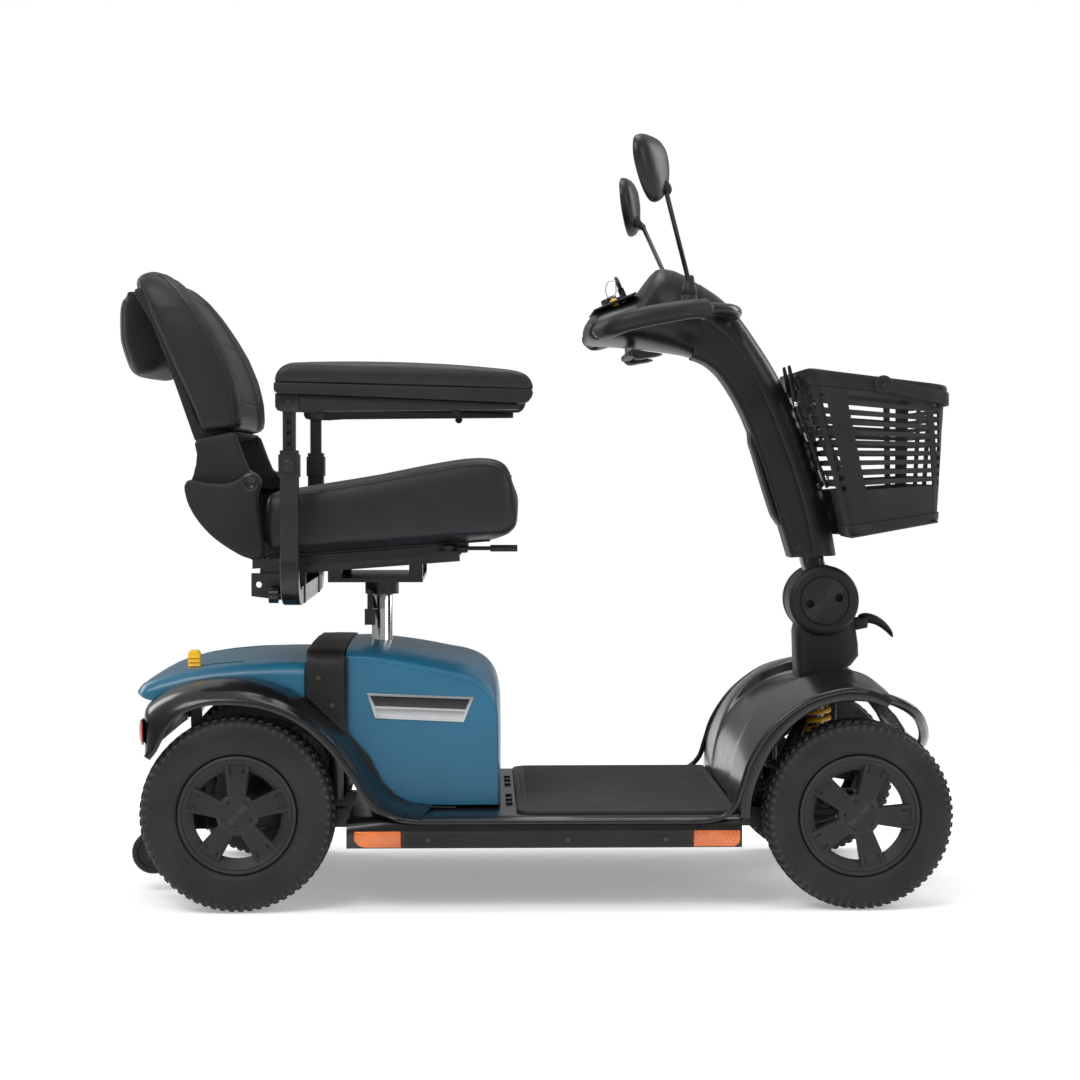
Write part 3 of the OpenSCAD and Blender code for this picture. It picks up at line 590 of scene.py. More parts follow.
def join(name, parts):
    bm = bmesh.new()
    materials = []
    for part in parts:
        slots = []
        for material in part.data.materials:
            if material not in materials:
                materials.append(material)
            slots.append(materials.index(material))
        start = len(bm.faces)
        bm.from_mesh(part.data)
        bm.faces.ensure_lookup_table()
        for face in bm.faces[start:]:
            # a part may carry no material
            face.material_index = slots[face.material_index] if slots else 0
    mesh = bpy.data.meshes.new(name)
    bm.to_mesh(mesh)
    bm.free()
    for material in materials:
        mesh.materials.append(material)
    for part in parts:
        bpy.data.objects.remove(part)
    return link_object(name, mesh)


def register(obj, body, replaced, slot):
    if body:
        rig.ride(obj, body)
    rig.replaces(obj, replaced)
    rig.slot(obj, slot)


def assemble(name, parts, body, replaced, slot, angle=None):
    obj = join(name, parts)
    if angle:
        shade(obj, angle)
    register(obj, body, replaced, slot)


# ------------------------------------------------------------------ wheels
def tread(centre, radius, width):
    """Moulded blocks: two chevron bands and a row of shoulder lugs on each half of the tyre."""
    count = 66
    pitch = 2 * math.pi / count
    bands = (  # depth of foot, depth of top, corners (share of pitch, y)
        (5, 0.3, ((.06, 1.5), (.62, 1.5), (.92, width * .17), (.36, width * .17))),
        (6, 0.5, ((.40, width * .21), (.96, width * .21), (1.2, width * .36), (.66, width * .36))),
        (10, 3.5, ((.75, width * .39), (1.25, width * .39), (1.35, width * .475),
                   (.86, width * .475))))
    points, faces = [], []
    for i in range(count):
        for side in SIDES:
            start = i * pitch + (0 if side < 0 else pitch / 2)
            for foot, top, corners in bands:
                faces += prism_faces(4, len(points))[1:]
                corners = [(start + pitch * f, side * y) for f, y in corners]
                mid_angle, mid_y = (sum(c[k] for c in corners) / 4 for k in (0, 1))
                for depth, shrink in ((foot, 0.0), (top, 0.10)):
                    for a, y in corners:
                        a = a + (mid_angle - a) * shrink
                        y = y + (mid_y - y) * shrink
                        r = (radius - depth - 0.0032 * max(0, abs(y) - width * 0.22) ** 2
                             - 0.02 * max(0, abs(y) - width * 0.36) ** 2)
                        points.append(np.array((r * math.cos(a), y, r * math.sin(a))) + centre)
    return add_mesh(points, faces, TYRE)


def spoke(centre, side, rim_radius, face, angle):
    """Widening spoke plate with a U pressed into its outer face."""
    c, s = math.cos(angle), math.sin(angle)
    radii = np.r_[18, 26, 34, 44, 54,
                  rim_radius - np.array([30, 26.5, 25.5, 18.6, 17.4, 14, 12.8, 9])]
    across = [-1, -0.93, -0.70, -0.66, -0.50, -0.46, 0, 0.46, 0.50, 0.66, 0.70, 0.93, 1]
    front = []
    for r in radii:
        reach = (r - 18) / (rim_radius - 27)
        half_width = 11.5 + 7.5 * reach
        for q in across:
            out = face - 0.8 - 1.6 * reach ** 2 - (1.6 if abs(q) == 1 else 0)
            legs = rim_radius - 26 < r < rim_radius - 12.9 and 0.48 < abs(q) < 0.64
            base = rim_radius - 18.7 < r < rim_radius - 12.9 and abs(q) < 0.67
            if legs or base:
                out -= 2.6
            x = r * c - q * half_width * s
            z = r * s + q * half_width * c
            front.append(np.array((x, side * out, z)) + centre)
    back = [p + (0, side * -13, 0) for p in front]
    rows, cols = len(radii), len(across)
    far = rows * cols
    faces = []
    for i in range(rows - 1):
        for j in range(cols - 1):
            a = i * cols + j
            faces.append((a, a + 1, a + cols + 1, a + cols))
            faces.append((far + a, far + a + cols, far + a + cols + 1, far + a + 1))
    for i in range(rows - 1):
        for a in (i * cols, i * cols + cols - 1):
            faces.append((a, a + cols, far + a + cols, far + a))
    for i in (0, rows - 1):
        for a in range(i * cols, i * cols + cols - 1):
            faces.append((a, a + 1, far + a + 1, far + a))
    return add_mesh(front + back, faces, RIM)


def wheel(letter, end, axle, radius, rim_radius, width, turn):
    """Tyre and five-spoke rim; turn is the angle of the first spoke in degrees."""
    side = SIDE_OF[letter]
    body = f"{end}_wheel_{letter}"
    centre = np.array((axle[0], side * WHEEL_Y, axle[1]))
    R, ri, half = radius, rim_radius, width / 2
    profile = [
        (ri, -half + 10), (ri + 3, -half + 5), (ri + 10, -half + 2.2), (R - 34, -half + 0.2),
        (R - 24, -half), (R - 13, -half + 1.6), (R - 7.2, -half + 4.6), (R - 3.6, -half + 10),
        (R - 2.6, -half + 18), (R - 2.2, 0), (R - 2.6, half - 18), (R - 3.6, half - 10),
        (R - 7.2, half - 4.6), (R - 13, half - 1.6), (R - 24, half), (R - 34, half - 0.2),
        (R - 36, half - 1.2), (R - 39, half - 1.2), (R - 40, half - 0.4),
        (ri + 10, half - 2.2), (ri + 3, half - 5), (ri, half - 10)]
    carcass = lathe(spline(profile, 60, closed=True), centre, TYRE, n=120)
    assemble(body + "_tyre", [carcass, tread(centre, radius, width)],
             body, f"{end}_tyre_{letter}", "tyre", angle=38)

    face = half - 8.0   # outer face of hub and spokes
    barrel = [(ri - 1, half - 9), (ri - 1, half - 6.5), (ri - 3, half - 5.5), (ri - 6, half - 6.5),
              (ri - 8.5, half - 11), (ri - 10, half - 22), (ri - 12, 0), (ri - 10, -half + 14),
              (ri - 5, -half + 9), (ri - 1, -half + 9), (ri - 1, 0)]
    dish = [(ri - 5, half - 7.5), (ri - 9, half - 9.5), (ri - 20, half - 15),
            (ri - 22.5, half - 17), (ri - 22.5, half - 20), (ri - 19, half - 19),
            (ri - 9, half - 13.5)]
    hub = [(0.01, face - 1.5), (19.5, face - 1.5), (21, face - 0.2), (21.6, face - 2.2),
           (22.4, face - 2.2), (23, face - 0.5), (26, face - 0.6), (30, face - 3),
           (31, face - 14), (24, face - 24), (20, -half + 8), (11, -half + 8), (11, face - 7),
           (0.01, face - 7)]
    parts = [lathe(points, centre, RIM, n=n, side=side)
             for points, n in ((barrel, 96), (dish, 96), (hub, 64))]
    parts += [spoke(centre, side, rim_radius, face, math.radians(turn + 72 * k))
              for k in range(5)]
    assemble(body + "_rim", parts, body, f"{end}_rim_{letter}", "rim_plastic", angle=30)


for letter in "rl":
    wheel(letter, "rear", REAR_AXLE, radius=140, rim_radius=85.5, width=80, turn=90)
    wheel(letter, "front", FRONT_AXLE, radius=136, rim_radius=87.5, width=76, turn=70)

small_wheel = [(6.2, -14), (13, -14), (14, -10), (22, -9), (24, -11), (30, -11), (32, -8),
               (32.3, 0), (32, 8), (30, 11), (24, 11), (22, 9), (14, 10), (13, 14), (6.2, 14)]
assemble("anti_tip_wheel_pair", [lathe(small_wheel, (-564, s * 101, 60), TEXTURED) for s in SIDES],
         "anti_tip_wheels", "anti_tip_wheels", "small_wheel", angle=35)


# ------------------------------------------------------------------ body shells
def battery_shroud():
    """Crowned lid with a soft crease along each side and flat flanks below."""
    front_x = -49
    # x, z of the crease, of the lid along its middle, and of the flank's lower edge
    crease = outline([(-271, 360), (-240, 359), (-200, 352), (-160, 344), (-120, 335),
                      (-92, 327), (-72, 316), (-58, 300), (-51, 278), (front_x, 240),
                      (front_x, 190), (front_x, 142)], 61, fine=400)
    crown = outline([(-271, 372), (-244, 372.5), (-200, 369), (-160, 363.5), (-120, 356),
                     (-93, 351), (-70, 341), (-54, 324), (-46, 302), (-44, 260), (-44, 200),
                     (-44, 142)], 61, fine=400)
    lower = outline([(-271, 248), (-262, 238), (-244, 217), (-233, 198), (-224, 182),
                     (-212, 168), (-197, 156), (-180, 148), (-162, 143.5), (-120, 142),
                     (-80, 142), (front_x, 142)], 61, fine=400)
    half = [(190.5, 0.0), (189, 0.10), (186, 0.2), (180, 0.33), (170, 0.5), (155, 0.67),
            (130, 0.83), (95, 0.94), (50, 0.99), (0, 1.0)]   # y, share of the crown

    def flank(side):
        rows = []
        for t in (0.012, 0.04, 0.12, 0.3, 0.5, 0.7, 0.85, 0.95, 0.985, 1.0):
            points = blend(crease, lower, t)
            points[:, 0] = np.minimum(points[:, 0], front_x)
            rows.append(at_y(points, side * (191.6 if t < 0.02 else 192.0)))
        return rows

    lid = blend_rows(crease, crown, [(t, y) for y, t in arch(half)])
    obj = grid_mesh(flank(-1)[::-1] + lid + flank(1), BLUE, name="battery_shroud_shell")
    thicken(obj, 3.5, offset=-1, angle=50)
    register(obj, "chassis", "battery_shroud", "body_blue")


def shroud_band():
    """Raised saddle behind the shroud."""
    rows = []
    # x, rise of the top, z of the lower edge
    for x, rise, low in ((-328.5, -6, 303), (-327.5, -1.5, 302), (-324, 0, 300),
                         (-300, 1.2, 276), (-278, 0, 256), (-274, -1.5, 252), (-272.8, -6, 251)):
        top = 374 + rise
        w = 207.5 + min(0, rise) * 0.4
        half = [(w, low), (w, 300 + (low - 300) * 0.3), (w, 335), (w - 1, 350), (w - 7, 362),
                (w - 20, 368), (120, top - 2), (60, top), (0, top)]
        rows.append(at_x(spline(arch(half), 90), x))
    obj = thicken(grid_mesh(rows, MATTE, name="shroud_band_saddle"), 4, offset=-1, angle=45)
    register(obj, "chassis", "shroud_band", "matte_black")


def rear_cover():
    """Soft-edged clamshell with a slot on each side for the freewheel levers."""
    rear, front = -578, -331
    # x and z of the middle, of the side edge and of the lower edge
    top_x = [-578, -572, -560, -545, -510, -470, -423, -370, -331]
    top_z = [309, 318, 325, 331, 341, 347, 351, 352, 352]
    edge_x = [-578, -565, -549, -527, -494, -462, -423, -379, -331]
    edge_z = [308, 312, 319, 325, 333, 338, 341, 343, 343]
    low_x = [-578, -562, -546, -514, -473, -433, -392, -352, -331]
    low_z = [306, 299, 295, 302, 316, 320, 315, 300, 291]
    rows = []
    for x in np.r_[np.linspace(rear, -560, 8), np.linspace(-552, front, 30)]:
        t = (x - rear) / (front - rear)
        w = 202 * (1 - max(0, (-560 - x) / 18) ** 2.2 * 0.16) * (1 - 0.015 * (1 - t))
        top = np.interp(x, top_x, top_z)
        edge = np.interp(x, edge_x, edge_z)
        low = np.interp(x, low_x, low_z)
        half = [(w - 1, low), (w, low + (edge - low) * .35), (w - .5, low + (edge - low) * .8),
                (w - 4, edge - 1), (w - 10, edge + (top - edge) * .45),
                (w - 24, edge + (top - edge) * .8), (w * .62, top - 1), (w * .3, top), (0, top)]
        rows.append(at_x(spline(arch(half), 64), x))
    obj = thicken(grid_mesh(rows, BLUE, name="rear_cover_shell"), 3.5, offset=-1)
    for s in SIDES:
        mesh = bpy.data.meshes.new("slot")
        with editing(mesh) as bm:   # slot cutter, in metres
            place = Matrix.Translation((-0.464, s * 0.150, 0.34))
            size = Matrix.Diagonal((0.094, 0.020, 0.10, 1))
            bmesh.ops.create_cube(bm, size=1.0, matrix=place @ size)
            upright = [e for e in bm.edges
                       if abs((e.verts[0].co - e.verts[1].co).normalized().z) > 0.9]
            bmesh.ops.bevel(bm, geom=upright, offset=0.008, segments=5, affect="EDGES")
        cut_away(obj, [link_object("slot", mesh)])
    shade(obj, 40)
    register(obj, "chassis", "rear_cover", "body_blue")


def rear_fender():
    """Gloss wheel arches with a rolled lip, a closed tail and webs down to the deck."""
    count = 90
    # x, z of the arch lip and of the inner edge tucked under the cover
    lip = outline([
        (-545, 221), (-537, 231), (-529, 246), (-521, 262), (-500, 285), (-467, 297),
        (-441, 299), (-415, 298), (-390, 294.5), (-367, 288), (-348, 280), (-331, 270),
        (-313, 256), (-299, 243), (-283, 225), (-271, 208), (-257, 189), (-247, 172),
        (-236, 155), (-221, 143), (-203, 136), (-190, 133)], count)
    top = outline([
        (-556, 226), (-559, 250), (-560, 272), (-558, 288), (-537, 307), (-508, 321),
        (-470, 329), (-435, 331), (-405, 328), (-375, 321), (-345, 309), (-322, 291),
        (-300, 272), (-282, 254), (-268, 238), (-252, 215), (-238, 192), (-225, 172),
        (-210, 158), (-196, 149), (-184, 144), (-176, 142)], count)

    def lip_away(distance):
        """The lip moved away from the axle."""
        ray = lip - np.array(REAR_AXLE)
        return lip + ray / np.linalg.norm(ray, axis=1)[:, None] * distance

    rows = [at_y(lip_away(d), y) for d, y in ((3.0, 262), (1.2, 272), (0.2, 280), (0.6, 283.6),
                                              (3.0, 284.4), (7.0, 283.2))]
    rows += blend_rows(lip, top, ((0.33, 279.5), (0.5, 275.0), (0.66, 267), (0.8, 255),
                                  (0.9, 240), (0.97, 222), (1.0, 203)))
    left = thicken(grid_mesh(rows, GLOSS), 2.5)
    tail = [[(x + 2.0 * (y / 203) ** 4, y, z) for y in np.linspace(-206, 206, 24)]
            for z, x in ((226, -553), (228, -555.5), (250, -557.5), (272, -558), (284, -556),
                         (292, -548), (300, -540))]
    parts = [left, mirrored(left), thicken(grid_mesh(tail, GLOSS), 2.5)]
    skirt = [(-331, 343), (-268, 360), (-268, 250), (-236, 214), (-218, 178), (-194, 153),
             (-160, 141.5), (-110, 140), (-110, 137.5), (-206, 137.5), (-240, 152),
             (-270, 208), (-315, 262), (-331, 277)]
    slope = outline([(-300, 268), (-272, 240), (-252, 213), (-236, 188), (-220, 166),
                     (-200, 148), (-176, 141), (-150, 139.5)], 50, fine=400)
    web = ((203, 6, 3), (225, 2, 1), (252, -3, -1), (272, -7, -4), (279, -10, -7))  # y, dx, dz
    for s in SIDES:
        # bead along the arch that runs on into the deck rail
        bead = [(x + 1.0, s * 281.5, z + 3.5) for x, z in lip_away(1.0)[6:84:3]]
        bead += [(-203, s * 281, 138.5), (-189, s * 280.5, 132.8), (-163, s * 280, 129.2)]
        parts.append(tube(bead, 4.0, GLOSS, 14, 110))
        # skirt closing the gap between arch and shroud, then the web out to the arch
        parts.append(slab(skirt, *span(s, 193.5, 202.0), GLOSS, bevel=0.8))
        rows = [[(x + dx, s * y, z + dz) for x, z in slope] for y, dx, dz in web]
        parts.append(thicken(grid_mesh(rows, GLOSS), 2))
    # upright wall across the middle
    parts.append(slab([(-298, 150), (-274, 150), (-274, 356), (-298, 360)], -186, 186, GLOSS,
                      bevel=1))
    assemble("rear_fender_shell", parts, "chassis", "rear_fender", "gloss_black", angle=50)


def badges():
    """Blank plate on each flank: a bright frame, a dark field and a bright strip below it."""
    layers = (  # outline (x, z), inner y, outer y, material
        ([(-241, 306), (-84, 300), (-99, 263), (-229, 269)], 191.5, 193.4, PLATE),
        ([(-236, 302.5), (-90, 297), (-96, 282), (-229, 287.5)], 193.0, 193.9, GLOSS),
        ([(-228.5, 284.5), (-97, 279), (-102, 266), (-226, 272)], 193.0, 193.8, PLATE))
    parts = [slab(points, s * y0, s * y1, material, bevel=0.8)
             for s in SIDES for points, y0, y1, material in layers]
    assemble("badge_plate_blank", parts, "chassis", "badge_plates", "plate_silver", angle=35)


def lenses():
    """Bulging tail light lenses and flat amber side reflectors."""
    parts = []
    for s in SIDES:
        rows = []
        for z in np.linspace(240, 273, 9):
            x = np.interp(z, [240, 273], [-557.8, -559.4])
            rows.append([(x - 3.2 * (1 - ((y - 235) / 29) ** 4) * (1 - ((z - 256.5) / 17) ** 4)
                          + 2.5 * max(0, (y - 250) / 14) ** 2, s * y, z)
                         for y in np.linspace(207, 264, 16)])
        parts.append(thicken(grid_mesh(rows, RED), 2, offset=1, angle=50))
    assemble("tail_light_lenses", parts, "chassis", "tail_lights", "lens_red")
    rear = [(-255, 117), (-255, 104), (-249, 97), (-240, 94), (-188, 94), (-188, 117)]
    front = [(230, 117), (230, 94), (288, 94), (295, 98), (297, 104), (297, 117)]
    parts = [slab(points, s * 280, s * 285, AMBER, bevel=1.5)
             for s in SIDES for points in (rear, front)]
    assemble("side_reflector_lenses", parts, "chassis", "side_reflectors", "reflector_amber")


def front_fender():
    """Front cowl: two wheel arches, the panel between them, a nose and an open hoop."""
    count = 80
    # x, z outlines, from the outside of the arch to the middle of the cowl
    inner_lip = outline([(311, 134), (314, 165), (323, 193), (343, 234), (360, 256), (382, 276),
                         (406, 291), (434, 300), (460, 302.5), (486, 300), (508, 292)], count)
    outer_lip = outline([(299, 134), (301, 165), (305, 190), (316, 220), (335, 251), (355, 273),
                         (394, 302), (434, 315), (460, 318.5), (486, 315), (514, 303)], count)
    crown = outline([(296, 134), (298, 170), (304, 200), (314, 230), (333, 266), (364, 299),
                     (395, 317), (436, 330), (470, 333), (500, 325), (526, 306)], count)
    middle = outline([(298, 134), (302, 170), (308, 204), (318, 230), (334, 254), (364, 281),
                      (398, 298), (436, 306), (470, 306), (500, 300), (526, 287)], count)
    rows = blend_rows(inner_lip, outer_lip, ((0, 262), (0, 274), (.02, 279.5), (.15, 281.5),
                                             (.6, 281.8), (1, 280.5)))
    rows += blend_rows(outer_lip, crown, ((0.06, 277), (0.16, 268), (0.32, 250), (0.5, 226),
                                          (0.68, 198), (0.84, 170), (0.95, 148), (1.0, 134)))
    rows += blend_rows(crown, middle, ((.04, 128.5), (.2, 125), (.6, 121), (.9, 115), (1, 104),
                                       (1, 80), (1, 40), (1, 0)))
    left = thicken(grid_mesh(rows, GLOSS), 3)
    nose = [[(x - 14 * (abs(y) / w) ** 3, y, z + 8 * (abs(y) / w) ** 4)
             for y in np.linspace(-w, w, 28)]
            for x, z, w in ((522, 290, 134), (540, 276, 132), (560, 256, 124), (574, 236, 114),
                            (582, 218, 106), (583, 205, 104))]
    parts = [left, mirrored(left), thicken(grid_mesh(nose, GLOSS), 3)]
    hoop = [(452, 275, 309), (488, 275, 307), (515, 271, 302), (541, 258, 290), (560, 234, 275),
            (574, 198, 257), (585, 151, 236), (591, 100, 219), (594, 52, 212)]
    path = [(x, -y, z) for x, y, z in hoop] + [(595, 0, 210)] + hoop[::-1]
    parts.append(tube(path, 7.5, GLOSS, 14, 90))
    bead = [(228, 280, 129.2), (256, 280, 131), (276, 281, 138), (291, 281.5, 154),
            (300, 281.5, 180), (312, 281, 216), (333, 280.5, 250), (354, 280.5, 273),
            (394, 280.5, 301), (434, 280.5, 314), (460, 280.5, 317.5), (486, 277.5, 312),
            (506, 273.5, 304.8)]
    parts += [tube([(x, s * y, z) for x, y, z in bead], 4.2, GLOSS, 14, 110) for s in SIDES]
    assemble("front_cowl_shell", parts, "chassis", "front_fender", "gloss_black", angle=50)


def floor_deck():
    """Deck tray with a rolled edge, bottom flanges, ribbed side strips and side rails."""
    section = spline(arch([(279, 92), (280, 100), (280.5, 110), (280.5, 118), (279.5, 126),
                           (275, 133), (268, 136.3), (258, 137), (200, 137), (0, 137)]), 80)
    rows = []
    for x in np.r_[-266, -264, -258, np.linspace(-250, 290, 40), 297, 300]:
        drop = np.interp(x, [-266, -205, 300], [-6, 0, 0])
        rows.append([(x, y, z + (drop if z > 120 else 0)) for y, z in section])
    parts = [thicken(grid_mesh(rows, GLOSS), 3, offset=-1)]
    for s in SIDES:
        flange = [[(x, s * y, z) for y, z in ((278, 96.5), (272, 93.5), (110, 93.5))]
                  for x in (-262, -255, 0, 290, 297)]
        parts.append(thicken(grid_mesh(flange, TEXTURED), 3))
    rib_pitch = 4.5
    for s in SIDES:
        rows = []
        for z in np.r_[93.2, 94.5, np.linspace(96, 114, 25), 115.5, 116.6]:
            y = 284.0 if 94 < z < 116 else 282.2
            y -= 0.7 * (0.5 + 0.5 * math.cos(z * 2 * math.pi / rib_pitch))
            rows.append([(x, s * y, z) for x in np.linspace(-187, 229, 60)])
        parts.append(thicken(grid_mesh(rows, TEXTURED), 2))
    parts += [tube([(x, s * 280, 129.2) for x in (-163, 0, 228)], 4.0, GLOSS, 14, 20)
              for s in SIDES]
    assemble("floor_deck_shell", parts, "chassis", "floor_deck", "deck_plastic", angle=45)


def deck_mat():
    """Foot mat with rounded rear corners, a soft edge and fine ribs along X."""
    rear, front, half, rear_radius, front_radius = -22, 296, 258, 26, 6
    edge = []
    for quarter, (x, y, r) in enumerate((
            (front - front_radius, half - front_radius, front_radius),
            (rear + rear_radius, half - rear_radius, rear_radius),
            (rear + rear_radius, rear_radius - half, rear_radius),
            (front - front_radius, front_radius - half, front_radius))):
        for a in np.linspace(quarter * math.pi / 2, (quarter + 1) * math.pi / 2, 9):
            edge.append((x + r * math.cos(a), y + r * math.sin(a)))
    middle = (rear + front) / 2
    rows = [[(x - math.copysign(inset, x - middle), y - math.copysign(inset, y), z)
             for x, y in edge]
            for inset, z in ((0, 137.1), (0, 141.0), (1.2, 142.6), (3, 143.0), (7, 143.0),
                             (8, 142.2), (9.5, 142.2), (10.5, 143))]
    base = shade(grid_mesh(rows, MAT_RUBBER, ring=True, cap=True), 30)
    points, faces = [], []
    for y in np.arange(-240, 241, 8.0):
        faces += prism_faces(4, len(points))
        for x in (rear + 18 + (12 if abs(y) > 235 else 0), front - 14):
            points += [(x, y - 2.4, 142.8), (x, y - 1.2, 144.0), (x, y + 1.2, 144.0),
                       (x, y + 2.4, 142.8)]
    ribs = add_mesh(points, faces, MAT_RUBBER, smooth=False)
    assemble("foot_mat", [base, ribs], "chassis", "deck_mat", "mat_rubber")


def coil_springs():
    """Front coil springs; they stretch between chassis and axle."""
    turns, steps, coil_radius = 9, 24, 16
    low, high = 174.5, 280
    parts = []
    for s in SIDES:
        path = []
        for k in range(turns * steps + 1):
            a = k * 2 * math.pi / steps
            path.append((440 + coil_radius * math.cos(a), s * 70 + coil_radius * math.sin(a),
                         low + (high - low) * k / (turns * steps)))
        parts.append(tube(path, 3.4, SPRING, 10))
    obj = shade(join("front_coil_springs", parts), 60)
    register(obj, None, "coil_springs", "spring_yellow")
    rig.blend(obj, "chassis", "front_axle", (0.44, 0.0, 0.28), (0.44, 0.0, 0.176))


battery_shroud()
shroud_band()
rear_cover()
rear_fender()
badges()
lenses()
front_fender()
floor_deck()
deck_mat()
coil_springs()


# ------------------------------------------------------------------ stem and tilt joint
def steering_stem():
    x, z = TILT_AXIS
    exponent = 2 / 4.5
    rows = []
    # z, rear x, front x, half width
    for height, x0, x1, w in ((313, 413, 474, 36), (316, 411.5, 478, 37.5), (324, 411, 486, 38),
                              (332, 411, 498, 38), (346, 410, 509, 38), (365, 409.5, 508, 38),
                              (384, 409, 505, 38), (398, 412, 503, 37), (412, 420, 496, 33),
                              (420, 430, 486, 28)):
        rows.append([((x0 + x1) / 2 + (x1 - x0) / 2 * power(math.cos(a), exponent),
                      w * power(math.sin(a), exponent), height) for a in around(48)])
    parts = [
        grid_mesh(rows, MATTE, ring=True, cap=True),
        # disc between the tiller cheeks, then shaft, collar and steering arm
        lathe([(0.01, -25.5), (51, -25.5), (53, -23.5), (53, 23.5), (51, 25.5), (0.01, 25.5)],
              (x, 0, z), MATTE, n=72),
        lathe([(10, 172), (15, 172), (15, 320), (10, 320)], (455, 0, 0), ZINC, axis="z", n=32),
        lathe([(16, 303), (30, 303), (32, 306), (31, 312), (28, 316), (16, 316)],
              (455, 0, 0), TEXTURED, axis="z", n=48),
        slab([(367, 172.5), (455, 172.5), (455, 181.5), (367, 181.5)], -9.5, 9.5, FRAME, bevel=1),
        cross_cylinder(518, 398, 3, -23, 23, 20)]
    lug = [(498, 402), (502, 385), (522, 389), (524, 404)]
    parts += [slab(lug, *span(s, 15.5, 22), MATTE, bevel=1.2) for s in (1, -1)]
    assemble("steering_stem_body", parts, "steering_stem", "steering_stem", "matte_black",
             angle=40)


def tiller_frame():
    """Cheek discs and neck at the tilt joint, and the ladder bracket for the basket."""
    x, z = TILT_AXIS
    cheek = [(0.01, 27), (50, 27), (53.2, 29.5), (54, 33), (54, 38), (52.6, 42.2), (49.5, 45),
             (46, 46), (38.6, 46), (38.0, 44.6), (36.6, 44.6), (36.0, 46.6), (33, 47.2),
             (0.01, 47.2)]
    parts = []
    for s in SIDES:
        disc = lathe(cheek, (x, 0, z), MATTE, n=96, side=s)
        holes = [cross_cylinder(x + q * 22, z + q * 4.5, 6.0, s * 36, s * 52) for q in (-1, 1)]
        parts.append(cut_away(disc, holes))
    neck = [[(cx + hx * power(math.cos(a), .6), hy * power(math.sin(a), .6), height)
             for a in around(32)]
            for height, cx, hx, hy in ((470, 446, 20, 30), (480, 443, 19, 27), (490, 439, 18, 25),
                                       (505, 436, 18, 25), (520, 432, 18, 25))]
    parts.append(grid_mesh(neck, FRAME, ring=True, cap=True))
    rail = [(403, 748), (407, 750), (460, 606), (456, 604)]
    parts += [slab(rail, *span(s, 22, 34), FRAME, bevel=0.8) for s in SIDES]
    for (ax, az), (bx, bz) in (((404, 744), (410, 728)), ((448, 632), (455, 614)),
                               ((426, 690), (431, 676))):
        rung = [(ax, az), (ax + 4, az + 1.5), (bx + 4, bz + 1.5), (bx, bz)]
        parts.append(slab(rung, -23, 23, FRAME, bevel=0.8))
    hook = [(396, 791), (400, 793), (411, 752), (409, 738), (403, 740)]
    tab = [(403, 774), (409, 776), (413, 764), (412, 752), (404, 754)]
    bolt = [(0.01, -3), (5.5, -3), (6.5, -1), (6.5, 2), (5, 4), (0.01, 4)]
    for s in SIDES:
        parts.append(slab(hook, s * 30 - 3, s * 30 + 3, FRAME, bevel=0.8))
        parts.append(slab(tab, s * 44 - 8, s * 44 + 8, FRAME, bevel=0.8))
        parts += [lathe(bolt, (bx, s * 28, bz), ZINC, axis="x", n=20)
                  for bx, bz in ((409, 733), (456, 620))]
    parts.append(tube([(392, 8, 722), (404, 8, 727)], 4, FRAME, 12))
    parts.append(tube([(436, 8, 640), (450, 8, 644)], 4, FRAME, 12))
    assemble("tiller_frame_parts", parts, "tiller", "tiller_frame", "frame_black", angle=32)


def tilt_lever():
    rows = []
    # x, z, half height, half width
    for x, z, h, w in ((511, 398, 7, 8), (516, 402, 8, 12), (526, 403.5, 8, 13.5),
                       (538, 400, 8.5, 14.5), (548, 394, 9, 15.5), (556, 387, 9, 16),
                       (561, 381, 8, 16), (564, 377, 5, 14)):
        rows.append([(x - 0.25 * h * math.sin(a), w * power(math.cos(a), .7),
                      z + h * power(math.sin(a), .7)) for a in around(28)])
    obj = grid_mesh(rows, MATTE, ring=True, cap=True, name="tilt_lever_paddle")
    subdivide = obj.modifiers.new("smooth", "SUBSURF")
    subdivide.levels = 1
    subdivide.render_levels = 1
    apply_modifiers(obj)
    shade(obj, 50)
    register(obj, "tilt_lever", "tilt_lever", "matte_black")


steering_stem()
tiller_frame()
tilt_lever()


# ------------------------------------------------------------------ column covers
def column_rows(edge, seam_line, steps):
    """Half-shell rows. steps: share of the way from seam to edge, y beyond the half width."""
    count = len(edge)
    rows = []
    for i in range(count):
        reach = edge[i] - seam_line[i]
        half_width = 39.0 + 1.0 * math.sin(i / (count - 1) * math.pi)
        half = [(seam_line[i] + reach * t, half_width + dy) for t, dy in steps]
        half.append((edge[i], 0))
        half = [(p[0], y, p[1]) for p, y in half]
        rows.append(spline(half + [(x, -y, z) for x, y, z in half[-2::-1]], 64))
    return rows


